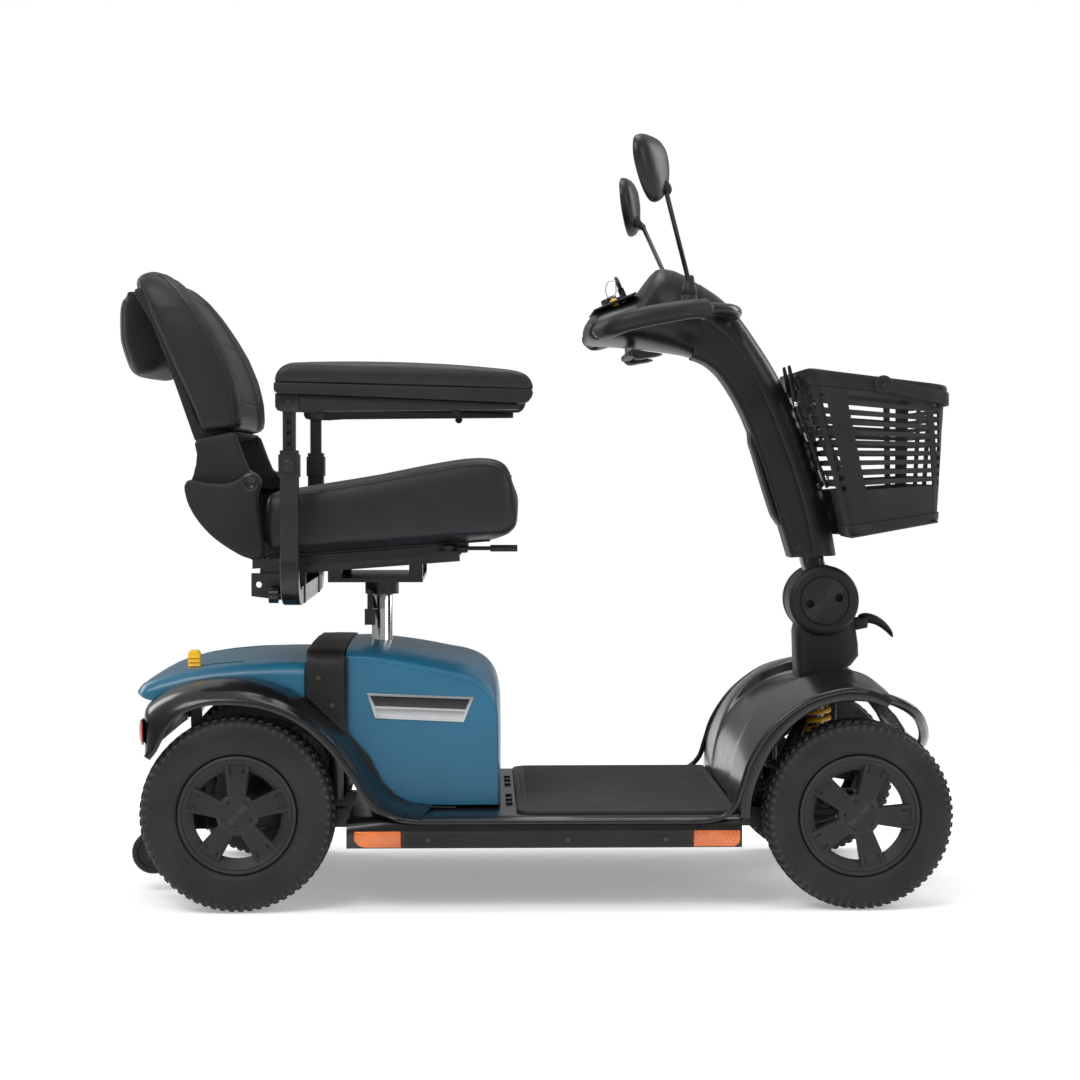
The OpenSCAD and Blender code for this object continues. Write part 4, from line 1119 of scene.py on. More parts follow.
def column_covers():
    count = 60
    # x, z going up the column
    front = outline([(474, 500), (465, 550), (452, 600), (437, 648), (420, 695), (401, 740),
                     (377, 786), (351, 827), (320, 870), (292, 897), (262, 917)], count)
    rear = outline([(403, 498), (389, 545), (374, 592), (359, 640), (343, 684), (327, 722),
                    (309, 754), (291, 779), (275, 793), (262, 800), (250, 804)], count)
    middle = outline([(436, 500), (428, 545), (417, 590), (402, 638), (385, 682), (367, 726),
                      (347, 766), (327, 803), (305, 832), (284, 850), (262, 866)], count)
    rows = column_rows(front, middle, ((0, -3), (.005, -1.2), (.03, 0), (.2, .3), (.45, -1.5),
                                       (.68, -7), (.85, -16), (.95, -27)))
    shell = thicken(grid_mesh(rows, SATIN, name="tiller_front_shell"), 3, angle=50)
    register(shell, "tiller", "tiller_front_cover", "satin_black")

    rows = column_rows(rear, middle, ((0, -4), (.01, -2.2), (.03, -1.2), (.5, -1.8),
                                      (.82, -3.2), (.95, -8), (1, -16)))
    parts = [thicken(grid_mesh(rows, MATTE), 3)]
    # raised hatch on the rear face
    normal_x, normal_z = -0.95, -0.28
    hatch = spline([(341, 690), (350, 664), (364, 618), (378, 574), (387, 548)], 30)
    rows = []
    for i, (x, z) in enumerate(hatch):
        t = i / 29
        rise = 5.0 * min(1, min(t, 1 - t) * 9) + 1.5
        row = []
        for y in np.linspace(-26, 26, 22):
            lift = rise * (1 - (abs(y) / 27) ** 6)
            row.append((x + normal_x * lift, y, z + normal_z * lift))
        rows.append(row)
    parts.append(thicken(grid_mesh(rows, MATTE), 2))
    for s in SIDES:
        mark = [(345, s * 38.9, 770), (340, s * 39.2, 783), (348, s * 39.2, 790),
                (358, s * 39.0, 784), (366, s * 38.9, 768)]
        parts.append(tube(mark, 0.7, GLOSS, 8, 30))
        screw = [(0.01, 37), (4, 37), (4.4, 39.1), (3, 39.4), (0.01, 38.6)]
        parts.append(lathe(screw, (412, 0, 514), FRAME, n=20, side=s))
        # black plate painted as the shade in the opening where the front cover parts from the head
        gap = [(304, 832), (330, 804), (327, 830), (320, 856), (310, 862)]
        parts.append(slab(gap, *span(s, 39.0, 40.6), FRAME, bevel=0.4))
    assemble("tiller_rear_shell", parts, "tiller", "tiller_rear_cover", "satin_black", angle=45)


column_covers()


# ------------------------------------------------------------------ console head
def console():
    stations = (  # x, bottom z, top z, half width low, half width top
        (87, 832, 852, 92, 84), (88.5, 827, 857, 100, 88), (93, 824.5, 864, 107, 90),
        (104, 823.5, 871, 110, 90), (118, 822.5, 877.5, 109, 88), (135, 821.5, 884.5, 106, 85),
        (152, 820, 892, 102, 82), (160, 819.2, 896.5, 100, 80), (166, 818.5, 903, 98, 78),
        (176, 817.5, 917, 96, 76), (186, 816.3, 930, 93, 73), (195, 815, 938.5, 90, 70),
        (206, 813.3, 940.5, 86, 66), (221, 811, 938, 78, 60), (236, 808.5, 932, 66, 53),
        (250, 804.5, 924, 53, 46), (262, 800, 916.5, 43, 40.5))
    exponent = 2 / 3.2
    sections = []
    for x, bottom, top, w_low, w_top in stations:
        section = []
        for a in around(72):
            h = power(math.sin(a), exponent)
            w = (w_low + w_top) / 2 - (w_low - w_top) / 2 * h
            tuck = 1 - 0.20 * max(0, -h) ** 2
            section.append((x, w * tuck * power(math.cos(a), exponent),
                            (bottom + top) / 2 + (top - bottom) / 2 * h))
        sections.append(section)
    sections = np.array(sections)
    rows = []
    for t in station_steps(stations, 60):
        i = int(min(t, len(stations) - 2))
        rows.append(blend(sections[i], sections[i + 1], t - i))
    parts = [grid_mesh(rows, SATIN, ring=True, cap=True)]
    x, y = MIRROR_FOOT
    for s in SIDES:
        # arm and socket for the mirror, and the stub the handlebar leaves from
        parts.append(tube([(x, s * 62, 872), (x, s * 90, 878), (x, s * 128, 881)], 9, MATTE,
                          18, 14))
        parts.append(lathe([(5.2, 874), (11, 874), (12, 876), (12, 890), (10.5, 892),
                            (5.2, 892)], (x, s * y, 0), MATTE, axis="z", n=32))
        parts.append(tube([(98, s * 92, 838), (99, s * 106, 838), (100, s * 116, 838)], 12,
                          MATTE, 18, 10))
        # moulded parting line round the head
        parting = [(92, 108.6, 846), (118, 109.3, 848), (150, 102.5, 852), (190, 93.5, 860),
                   (222, 77, 868), (258, 46.5, 868)]
        parts.append(tube([(px, s * py, pz) for px, py, pz in parting], 0.8, GLOSS, 8, 40))
    assemble("console_head", parts, "tiller", "console", "satin_black", angle=50)


PANEL_SLOPE = math.radians(23)
PANEL_ORIGIN = (130, 886)       # x, z
DIAL_Y = 40
HORN_Y = -40


def on_panel(x, y, z):
    """Point given up the panel's slope, across it and out of it."""
    c, s = math.cos(PANEL_SLOPE), math.sin(PANEL_SLOPE)
    return np.array((PANEL_ORIGIN[0] + x * c - z * s, y, PANEL_ORIGIN[1] + x * s + z * c))


def panel_box(x0, x1, y0, y1, z0, z1, material):
    corners = [on_panel(x, y, z) for z in (z0, z1)
               for x, y in ((x0, y0), (x1, y0), (x1, y1), (x0, y1))]
    return add_mesh(corners, prism_faces(4), material)


def console_panel():
    parts = [round_edges(panel_box(-36, 34, -76, 76, -1.5, 1.8, MATTE), 1.4),
             round_edges(panel_box(-30, -8, -62, 62, 1.0, 2.6, GLOSS), 0.8)]
    for k, material in enumerate([YELLOW] * 3 + [AMBER] * 3 + [PLATE] * 4):
        light = panel_box(-22, -15, -52 + k * 7, -47 + k * 7, 2.2, 3.2, material)
        parts.append(round_edges(light, 0.4))
    for y in (-64, -56, 58, 66):
        parts.append(round_edges(panel_box(4, 14, y - 3, y + 3, 1.2, 5.5, TEXTURED), 1.0))
    # bezels: y, radius, material
    for y, r, material in ((0, 11, ZINC), (DIAL_Y, 17, GLOSS), (HORN_Y, 9.5, GLOSS)):
        rows = [[on_panel(rr * math.cos(a), y + rr * math.sin(a), z) for a in around(40)]
                for rr, z in ((r + 1.5, 1.0), (r + 1.2, 2.8), (r, 3.2), (r - 1, 2.4),
                              (r - 2, 1.6))]
        parts.append(thicken(grid_mesh(rows, material, ring=True), 0.6))
    assemble("console_panel_face", parts, "tiller", "console_panel", "matte_black", angle=35)


def panel_knob(y, profile, material, name="part"):
    """(radius, height) profile turned about the panel's normal."""
    rows = [[on_panel(r * math.cos(a), y + r * math.sin(a), z) for r, z in profile]
            for a in around(48)]
    return shade(weld(grid_mesh(rows, material, ring=True, loop=True, name=name), 1e-6))


def panel_controls():
    dial = panel_knob(DIAL_Y, [(0.01, -6), (7.5, -6), (7.5, 4), (13, 4), (13.4, 5.5),
                               (12.6, 13), (11.2, 14.6), (0.01, 14.8)], MATTE)
    pointer = panel_box(3, 11, DIAL_Y - .9, DIAL_Y + .9, 14.4, 15.6, PLATE)
    assemble("speed_dial_knob", [dial, pointer], "speed_dial", "speed_dial", "matte_black",
             angle=35)
    horn = panel_knob(HORN_Y, [(0.01, -6), (5.8, -6), (5.8, 4.6), (4.9, 6.0), (3, 6.6),
                               (0.01, 6.8)], YELLOW, "horn_button_cap")
    register(horn, "horn_button", "horn_button", "lever_yellow")


def ignition_key():
    """Key with a looped grip, a ring and a fob."""
    pieces = (  # path on the panel, radius, material, sides, samples
        ([(20, -9, 20), (20, -12, 27), (20, -7, 34), (20, 0, 36), (20, 7, 34), (20, 12, 27),
          (20, 9, 20), (20, 0, 17), (20, -9, 20)], 2.6, MATTE, 10, 48),
        ([(20, 0, 3), (20, 0, 19)], 5, MATTE, 12, 6),
        ([(18, 0, 33), (8, 4, 36), (-2, 5, 24), (0, 3, 10), (10, 0, 14), (18, 0, 33)],
         0.8, ZINC, 8, 40),
        ([(0, 4, 12), (-4, 6, 8), (-10, 9, 5)], 4.2, GRIP, 12, 10),
        ([(20, 0, -6), (20, 0, 4)], 5.8, ZINC, 20, 4))
    parts = [tube([on_panel(*p) for p in path], *rest) for path, *rest in pieces]
    assemble("ignition_key", parts, "key", "key", "zinc", angle=50)


def throttle():
    parts = [lathe([(0.01, 806), (7, 806), (7, 834), (0.01, 834)], (155, 0, 0), ZINC,
                   axis="z", n=24),
             slab([(148, 811), (162, 811), (163, 806), (161, 803), (149, 803)], -96, 96, MATTE,
                  bevel=1.5)]
    paddle = spline([(150, 812), (175, 810), (200, 805.5), (192, 802), (178, 799.5),
                     (164, 797), (158, 797.5), (153, 802)], 32, closed=True)
    for s in SIDES:
        rows = []
        for y in (76, 78, 84, 95, 106, 111, 113):
            k = 1 - 0.25 * (abs(y - 95) / 18) ** 3
            rows.append([(175 + (x - 175) * k, s * y, 805 + (z - 805) * k) for x, z in paddle])
        parts.append(grid_mesh(rows, MATTE, ring=True, cap=True))
    assemble("throttle_paddles", parts, "throttle_lever", "throttle_lever", "matte_black",
             angle=45)


def handlebar():
    bar = [(100, 114, 838), (104, 140, 838), (112, 166, 839), (122, 188, 842.5),
           (142, 201, 849), (167, 204.5, 855), (200, 204.5, 861), (230, 202, 866),
           (253, 192, 867), (275, 175, 867.5), (293, 155, 867.5), (304, 128, 867),
           (307, 100, 866.5), (304, 72, 866), (296, 46, 865), (290, 36, 865)]
    grip = [(105, 146, 838)] + bar[2:9] + [(258, 188.5, 867)]
    grip_radii = np.interp(np.linspace(0, 1, 60), [0, .015, .04, .5, .93, .965, .975, 1],
                           [11, 14, 14.6, 15.3, 14.2, 15.8, 15.8, 12])

    def pair(path, *rest):
        return [tube([(x, s * y, z) for x, y, z in path], *rest) for s in SIDES]

    assemble("handlebar_tube", pair(bar, 10, FRAME, 20, 70), "tiller", "handlebar",
             "frame_black", angle=50)
    assemble("hand_grip_pair", pair(grip, grip_radii, GRIP, 28, 60), "tiller", "hand_grips",
             "grip_rubber", angle=50)


def mirror(letter):
    s = SIDE_OF[letter]
    edge = spline([(-46, 38), (-28, 46), (0, 47.5), (28, 45), (46, 36), (54, 18), (52, -4),
                   (40, -26), (22, -42), (4, -48.5), (-14, -45), (-32, -30), (-46, -8),
                   (-53, 16)], 56, closed=True)
    centre = np.array((171, s * 250, 1064.0))
    angle = math.radians(27 if s < 0 else -13)
    forward = np.array((math.cos(angle), s * math.sin(angle), 0))
    across = np.array((math.sin(angle), -s * math.cos(angle), 0))
    up = np.array((-0.10, 0, 0.995))

    def at(u, v, depth):
        return centre + across * u * 0.98 + up * v + forward * depth

    def dome(steps, material):
        """steps: scale of the edge, depth."""
        rows = [[at(u * k, v * k, depth) for u, v in edge] for k, depth in steps]
        return weld(grid_mesh(rows, material, ring=True), 2e-5)

    x, y = MIRROR_FOOT
    foot = (x, s * y, 0)
    parts = [
        dome(((0.90, -5.5), (0.955, -6.2), (0.99, -5.2), (1.0, -2.5), (0.985, 1.5), (0.93, 6),
              (0.82, 10), (0.64, 13.2), (0.4, 15.2), (0.15, 16), (0.01, 16)), SATIN),
        dome(((0.905, -5.3), (0.9, -4.8), (0.6, -4.9), (0.3, -5.0), (0.01, -5.0)), MIRROR),
        # boss behind the head, stalk, rubber boot and threaded foot
        tube([at(16, -22, 9), at(18, -30, 14), (193, s * 240.5, 1030)],
             np.linspace(9, 5.5, 14), MATTE, 16, 14),
        tube([(x, s * y, 902), (233.5, s * 136, 915), (215, s * 184, 968),
              (196, s * 232, 1022), (193, s * 240, 1031)], 3.6, FRAME, 14, 40),
        lathe([(0.01, 892.3), (10.5, 892.3), (11.5, 894), (11, 902), (8.5, 908), (7.2, 918),
               (5.5, 921), (0.01, 921)], foot, GRIP, axis="z", n=32),
        lathe([(0.01, 879), (4.9, 879), (4.9, 893), (0.01, 893)], foot, ZINC, axis="z", n=20)]
    assemble(f"mirror_{letter}_head_and_stalk", parts, f"mirror_{letter}", f"mirror_{letter}",
             "satin_black", angle=45)


console()
console_panel()
panel_controls()
ignition_key()
throttle()
handlebar()
mirror("r")
mirror("l")


# ------------------------------------------------------------------ basket
BASKET_HALF = 172.0
BASKET_LOOP = 96                # points round each loop
HANDLE_PIVOT = (518, 0, 758)


def basket_loop(t, grow=0.0):
    """Rounded rectangle round the basket, t=0 at the rim and 1 at the floor."""
    rear_x, rear_z = 409 + (474 - 409) * t, 782 + (532 - 782) * t
    front_x, front_z = 615 + (607 - 615) * t, 757 + (556 - 757) * t
    half_y = BASKET_HALF - 14 * t
    cx, half_x = (rear_x + front_x) / 2, (front_x - rear_x) / 2
    corner = 30
    points = []
    for quarter, (sx, sy) in enumerate(((1, 1), (-1, 1), (-1, -1), (1, -1))):
        start = quarter * math.pi / 2
        for a in np.linspace(start, start + math.pi / 2, 13):
            points.append((cx + sx * (half_x - corner) + (corner + grow) * math.cos(a),
                           sy * (half_y - corner) + (corner + grow) * math.sin(a)))
    return [np.array((x, y, rear_z + (front_z - rear_z) * (x - rear_x) / (front_x - rear_x)))
            for x, y in even(points, BASKET_LOOP, closed=True)]


def basket_wall():
    """Wall with ten rows of open slots."""
    slot_half = 0.0158
    levels = [0.0]
    for i in range(10):
        middle = 0.157 + i * 0.062
        levels += [middle - slot_half, middle + slot_half]
    levels += [0.96, 1.0]
    rim = basket_loop(0.0)

    def slotted(i):
        x, y, _ = (rim[i] + rim[(i + 1) % BASKET_LOOP]) / 2
        y = abs(y)
        if y > BASKET_HALF - 4:
            return 452 < x < 573 or 588 < x < 604
        if x > 611 or x < 413:
            return y < 38 or 58 < y < 138
        return 414 < x < 436 and y > BASKET_HALF - 16

    solid = [i for i in range(BASKET_LOOP) if not slotted(i)]
    faces = []
    for r in range(len(levels) - 1):
        slot_row = r % 2 == 1 and r < 21
        here, below = r * BASKET_LOOP, (r + 1) * BASKET_LOOP
        for i in (solid if slot_row else range(BASKET_LOOP)):
            k = (i + 1) % BASKET_LOOP
            faces.append((here + i, here + k, below + k, below + i))
    points = [p for t in levels for p in basket_loop(t)]
    return thicken(add_mesh(points, faces, TEXTURED), 3.5, offset=-1)


def basket_band(steps):
    """Closed band round the basket; steps: level, outward growth, rise."""
    rows = [[p + (0, 0, rise) for p in basket_loop(t, grow)] for t, grow, rise in steps]
    return grid_mesh(rows, MATTE, ring=True, loop=True)


def basket():
    def floor_z(x):
        return 532 + (556 - 532) * (x - 474) / (607 - 474)

    parts = [basket_wall()]
    rows = [[(x, y, floor_z(x)) for y in np.linspace(-156, 156, 5)] for x in (476, 540, 604)]
    parts.append(thicken(grid_mesh(rows, TEXTURED), 3))
    for x in range(492, 593, 20):
        rib_z = floor_z(x) + 3
        parts.append(tube([(x, -150, rib_z), (x, 150, rib_z)], 2.2, TEXTURED, 8))
    # rolled rim and rounded bottom edge
    parts.append(basket_band(((0.0, 0.3, 0), (0.0, 2.6, -1), (0.01, 3.9, -3), (0.085, 3.9, 0),
                              (0.095, 3.0, 0), (0.098, 0.3, 0), (0.09, -3.6, 0),
                              (0.0, -3.9, -2), (0.0, -3.0, -0.4))))
    parts.append(basket_band(((0.93, 0.3, 0), (0.935, 2.3, 0), (0.985, 2.3, 0), (1.0, 0.8, 0),
                              (1.006, -3, 0), (0.985, -4, 0), (0.93, -3.8, 0))))
    # side bosses for the carrying handle
    boss = [(0.01, 171.6), (9.5, 171.6), (9.5, 176.6), (8.5, 177.4), (0.01, 177.6)]
    parts += [lathe(boss, HANDLE_PIVOT, MATTE, n=28, side=s) for s in SIDES]
    # ribs on the rear wall
    rib = [(404, 770), (409, 772), (424, 716), (418, 714)]
    parts += [slab(rib, s * 70 - 3, s * 70 + 3, MATTE, bevel=0.8) for s in SIDES]
    obj = join("basket_shell", parts)
    # recess in the rear wall that clears the tiller and its bracket
    for vertex in obj.data.vertices:
        x, y, z = [c * 1000 for c in vertex.co]
        wall_x = 409 + (782 - z) * 43 / 237
        clear_x = np.interp(z, [520, 612, 720, 800], [486, 468, 430, 400]) + 3
        push = max(0.0, clear_x - wall_x)
        fade_y = min(1, max(0, (64 - abs(y)) / 12))
        fade_x = min(1, max(0, (70 - (x - wall_x)) / 50))
        ease_y, ease_x = (f * f * (3 - 2 * f) for f in (fade_y, fade_x))
        vertex.co.x += push * ease_y * ease_x / 1000
    shade(obj, 40)
    register(obj, "basket", "basket", "basket_plastic")


def basket_handle():
    """Flat band round the front of the basket, pivoting on a button at each side."""
    half = [(518, -179.8, 758), (545, -180, 752), (575, -180, 745.5), (600, -178, 740),
            (612, -171, 737.5), (617, -158, 736.5), (617.5, -135, 736), (617.5, 0, 736)]
    path = spline(half + [(x, -y, z) for x, y, z in half[-2::-1]], 120)
    along = np.gradient(path, axis=0)
    along /= np.linalg.norm(along, axis=1)[:, None]
    section = ((-2.0, -8.5), (-1.2, -9.5), (1.2, -9.5), (2.0, -8.5), (2.0, 8.5), (1.2, 9.5),
               (-1.2, 9.5), (-2.0, 8.5))   # across the band, up
    rows = []
    for p, t in zip(path, along):
        across = np.cross(t, (0, 0, 1))
        across /= np.linalg.norm(across)
        up = np.cross(across, t)
        rows.append([p + across * a + up * b for a, b in section])
    parts = [grid_mesh(rows, MATTE, ring=True, cap=True)]
    button = [(0.01, 176), (4.6, 176), (4.6, 178), (13, 178), (13.4, 179), (13.2, 181.4),
              (11, 182.2), (5, 182.2), (4, 181), (0.01, 181)]
    parts += [lathe(button, HANDLE_PIVOT, MATTE, n=32, side=s) for s in SIDES]
    assemble("basket_handle_band", parts, "basket_handle", "basket_handle", "basket_plastic",
             angle=40)


def freewheel_lever():
    bar = [(-504, 283), (-496, 279), (-489, 285), (-488, 322), (-486.5, 340), (-487, 362),
           (-490, 367), (-502, 367), (-505.5, 362), (-505.5, 340), (-504, 322)]
    parts = [slab(bar, -156, -145, YELLOW, bevel=2.2)]
    parts += [tube([(-504.5, -157, z), (-496, -157.4, z), (-488, -157, z)], 1.3, YELLOW, 8, 6)
              for z in (338, 344, 350, 356)]
    assemble("freewheel_lever_grip", parts, "freewheel_lever", "freewheel_lever",
             "lever_yellow", angle=40)


basket()
basket_handle()
freewheel_lever()


# ------------------------------------------------------------------ upholstery tools
def inflate(obj, pressure, pins, voxel, limit, frames):
    """Remesh a closed form (voxel in mm), blow it up as cloth by at most limit mm, smooth it."""
    remesh = obj.modifiers.new("remesh", "REMESH")
    remesh.mode = "VOXEL"
    remesh.voxel_size = 0.009 if QUICK else voxel * MM
    apply_modifiers(obj)
    if not QUICK:
        simulate(obj, pressure, pins, limit, frames)
    smooth = obj.modifiers.new("smooth", "SMOOTH")
    smooth.iterations = 4
    smooth.factor = 0.5
    if not QUICK:
        obj.modifiers.new("subdivide", "SUBSURF").levels = 1
    apply_modifiers(obj)
    return shade(obj, 180)


def coordinates(mesh):
    flat = np.empty(len(mesh.vertices) * 3, np.float32)
    mesh.vertices.foreach_get("co", flat)
    return flat.reshape(-1, 3)


def simulate(obj, pressure, pins, limit, frames):
    scene.frame_set(1)
    rest = coordinates(obj.data)
    group = obj.vertex_groups.new(name="pin")
    for i, weight in enumerate(pins(rest)):
        if weight > 0:
            group.add([i], float(weight), "REPLACE")
    cloth = obj.modifiers.new("cloth", "CLOTH")
    settings = cloth.settings
    settings.effector_weights.gravity = 0
    settings.use_pressure = True
    settings.uniform_pressure_force = pressure
    settings.quality = 5
    settings.tension_stiffness = 18
    settings.compression_stiffness = 14
    settings.shear_stiffness = 8
    settings.bending_stiffness = 0.6
    settings.mass = 0.3
    settings.air_damping = 2
    settings.vertex_group_mass = "pin"
    settings.pin_stiffness = 1.0
    cloth.collision_settings.use_self_collision = False
    cloth.point_cache.frame_start = 1
    cloth.point_cache.frame_end = frames
    for number in range(1, frames + 1):
        scene.frame_set(number)
    graph = bpy.context.evaluated_depsgraph_get()
    blown = coordinates(bpy.data.meshes.new_from_object(obj.evaluated_get(graph)))
    obj.modifiers.clear()
    # a simulation that blew up leaves the rest shape in place
    if len(blown) == len(rest) and np.isfinite(blown).all():
        move = blown - rest
        length = np.linalg.norm(move, axis=1, keepdims=True)
        move *= np.minimum(1, limit * MM / np.maximum(length, 1e-9))
        obj.data.vertices.foreach_set("co", (rest + move).ravel())
        obj.data.update()
    scene.frame_set(1)


def skin_of(obj):
    bm = bmesh.new()
    bm.from_mesh(obj.data)
    tree = BVHTree.FromBMesh(bm)
    bm.free()
    return tree


def on_skin(skin, points, offset):
    """Carry a line of points onto a cushion; points far from it are dropped."""
    carried = []
    for p in points:
        spot, normal, _, _ = skin.find_nearest(Vector([float(c) * MM for c in p]), 0.05)
        if spot is not None:
            q = spot + normal * offset * MM
            carried.append((q.x / MM, q.y / MM, q.z / MM))
    return carried


def stitches(skin, line, beside, distance):
    """Short threads along a line, set off from it in the direction beside."""
    half_length, half_width = 1.35, 0.42
    length = np.sum(np.linalg.norm(np.diff(line, axis=0), axis=1))
    beside = np.array(beside)
    row = [p + beside * distance for p in even(line, max(8, int(length / 4.2)))]
    row = np.array(on_skin(skin, row, 0.35))
    points, faces = [], []
    for a, b in zip(row[:-1], row[1:]):
        t = b - a
        gap = np.linalg.norm(t)
        if gap < 1e-3 or gap > 12:
            continue
        t /= gap
        u = np.cross(t, beside)
        u /= max(np.linalg.norm(u), 1e-6)
        v = np.cross(t, u)
        faces += prism_faces(4, len(points))
        for end in (-half_length, half_length):
            for c, s in ((1, 0), (0, 1), (-1, 0), (0, -1)):
                points.append((a + b) / 2 + t * end + (u * c + v * s) * half_width)
    return [add_mesh(points, faces, THREAD, smooth=False)] if points else []


def seam(skin, points, radius, beside=None, distance=4.0, material=PIPING, offset=-0.4):
    """Piped seam along a line, with a row of stitches when beside is given."""
    line = on_skin(skin, spline(points, 120), offset)
    if len(line) < 4:
        return []
    parts = [tube(line, radius, material, 8)]
    if beside is not None and not QUICK:
        parts += stitches(skin, np.array(line), beside, distance)
    return parts


def near(lines, width):
    """Pin weight that falls off with distance from lines; takes points in metres."""
    points = np.vstack([spline(line, 80) for line in lines]) * MM
    tree = KDTree(len(points))
    for i, p in enumerate(points):
        tree.insert(p, i)
    tree.balance()
    return lambda P: np.array([math.exp(-(tree.find(p)[2] / (width * MM)) ** 2) for p in P])


# ------------------------------------------------------------------ seat
def seat_cushion():
    stations = (  # x, top z, bottom z, half width
        (-384, 590, 520, 212), (-382, 596, 515, 220), (-374, 600, 512.8, 222),
        (-338, 605, 515.5, 222), (-280, 614, 520, 222), (-222, 623.5, 524, 222),
        (-160, 636.5, 529, 222), (-100, 648, 533, 222), (-76, 650, 534.2, 222),
        (-58, 649, 535.2, 222), (-44, 645, 536.3, 222), (-35, 637, 538, 221),
        (-30, 626, 540, 220), (-26.5, 606, 543, 218.5), (-23, 583, 546.5, 216),
        (-20.5, 566, 551, 211))
    rows = []
    for t in station_steps(stations, 48):
        x, top, low, w = at_station(stations, t)
        h = top - low
        k = min(1, h / 80)
        half = [(0, low), (140, low), (w - 18, low + .5), (w - 5, low + 5 * k),
                (w, low + 16 * k), (w + 1, low + .5 * h), (w - .5, top - 22 * k),
                (w - 4, top - 9 * k), (w - 14, top - 1.5 * k), (w - 34, top),
                (w - 70, top - 1 * k), (w - 110, top - 5 * k), (0, top - 7 * k)]
        section = half + [(-y, z) for y, z in half[-2:0:-1]]
        rows.append(spline(at_x(section, x), 120, closed=True))
    cushion = grid_mesh(rows, VINYL, ring=True, cap=True)

    top_edges = [[(-380, s * 217, 594), (-338, s * 219, 597.5), (-222, s * 219, 617),
                  (-135, s * 219, 632), (-76, s * 219, 641), (-48, s * 218, 636),
                  (-33, s * 216, 622)] for s in SIDES]
    front_edge = [(-33, -216, 622), (-30, -140, 623), (-29.5, 0, 623), (-30, 140, 623),
                  (-33, 216, 622)]
    low_edges = [[(-380, s * 220, 519), (-222, s * 220, 530), (-100, s * 220, 538),
                  (-30, s * 214, 546)] for s in SIDES]
    panel_edges = [[(-372, s * 118, 598), (-222, s * 118, 619), (-100, s * 118, 644),
                    (-62, s * 120, 646)] for s in SIDES]
    cross_lines = [[(x, -118, z), (x, 0, z - 2), (x, 118, z)]
                   for x, z in ((-295, 605), (-205, 620), (-118, 638))]
    edge_pin = near(top_edges + [front_edge] + low_edges + panel_edges, 7)
    cross_pin = near(cross_lines, 5)

    def pins(P):
        underside = P[:, 2] * 1000 < 534 + 0.07 * (P[:, 0] * 1000 + 60)
        return np.clip(edge_pin(P) + 0.7 * cross_pin(P) + underside * 1.0, 0, 1)

    inflate(cushion, pressure=4.0, pins=pins, voxel=6, limit=7, frames=16)
    skin = skin_of(cushion)
    parts = [cushion]
    for line, s in zip(top_edges, SIDES):
        parts += seam(skin, line, 1.7, beside=(0, -s * .5, 1), distance=5)
    parts += seam(skin, front_edge, 1.7, beside=(-.4, 0, 1), distance=5)
    for line, s in zip(panel_edges, SIDES):
        parts += seam(skin, line, 1.1, beside=(0, s, 0))
    for line in cross_lines:
        parts += seam(skin, line, 1.0, beside=(-1, 0, 0))
    for s in SIDES:
        parts += seam(skin, [(-342, s * 223, 562), (-300, s * 224, 567), (-257, s * 224, 569),
                             (-187, s * 224, 568), (-117, s * 224, 562), (-64, s * 223, 552)],
                      0.9, offset=-0.6)
    assemble("seat_cushion_cover_sewn", parts, "seat_frame", "seat_cushion", "vinyl")


BACKREST = (  # front x, z; rear x, z; half width
    (-426, 692, -482, 688, 196), (-420.5, 703, -489, 701, 201), (-422, 735, -503, 735, 203),
    (-430, 770, -517, 765, 203), (-446, 809, -533, 800, 203), (-466, 843, -549, 837, 202),
    (-488, 875, -563, 868, 198), (-508, 899, -574, 890, 190), (-526, 914, -580, 904, 180),
    (-543, 922, -580, 914, 166), (-558, 925, -573, 922, 146))


def backrest_station(t):
    front_x, front_z, rear_x, rear_z, w = at_station(BACKREST, t)
    return np.array([front_x, front_z]), np.array([rear_x, rear_z]), w


def backrest_line(y, depth, t0, t1):
    """Line up the backrest at y; depth is 0 at the rear face and 1 at the front."""
    line = []
    for t in np.linspace(t0, t1, 9):
        front, rear, w = backrest_station(t)
        p = rear + (front - rear) * depth
        line.append((p[0], math.copysign(min(abs(y), w - 1), y), p[1]))
    return line


def backrest_cross(t):
    """Line across the front face between the panel seams."""
    front, rear, _ = backrest_station(t)
    p = rear + (front - rear) * .88
    return [(p[0] + (2 if abs(y) > 100 else 0), y, p[1]) for y in np.linspace(-136, 136, 7)]


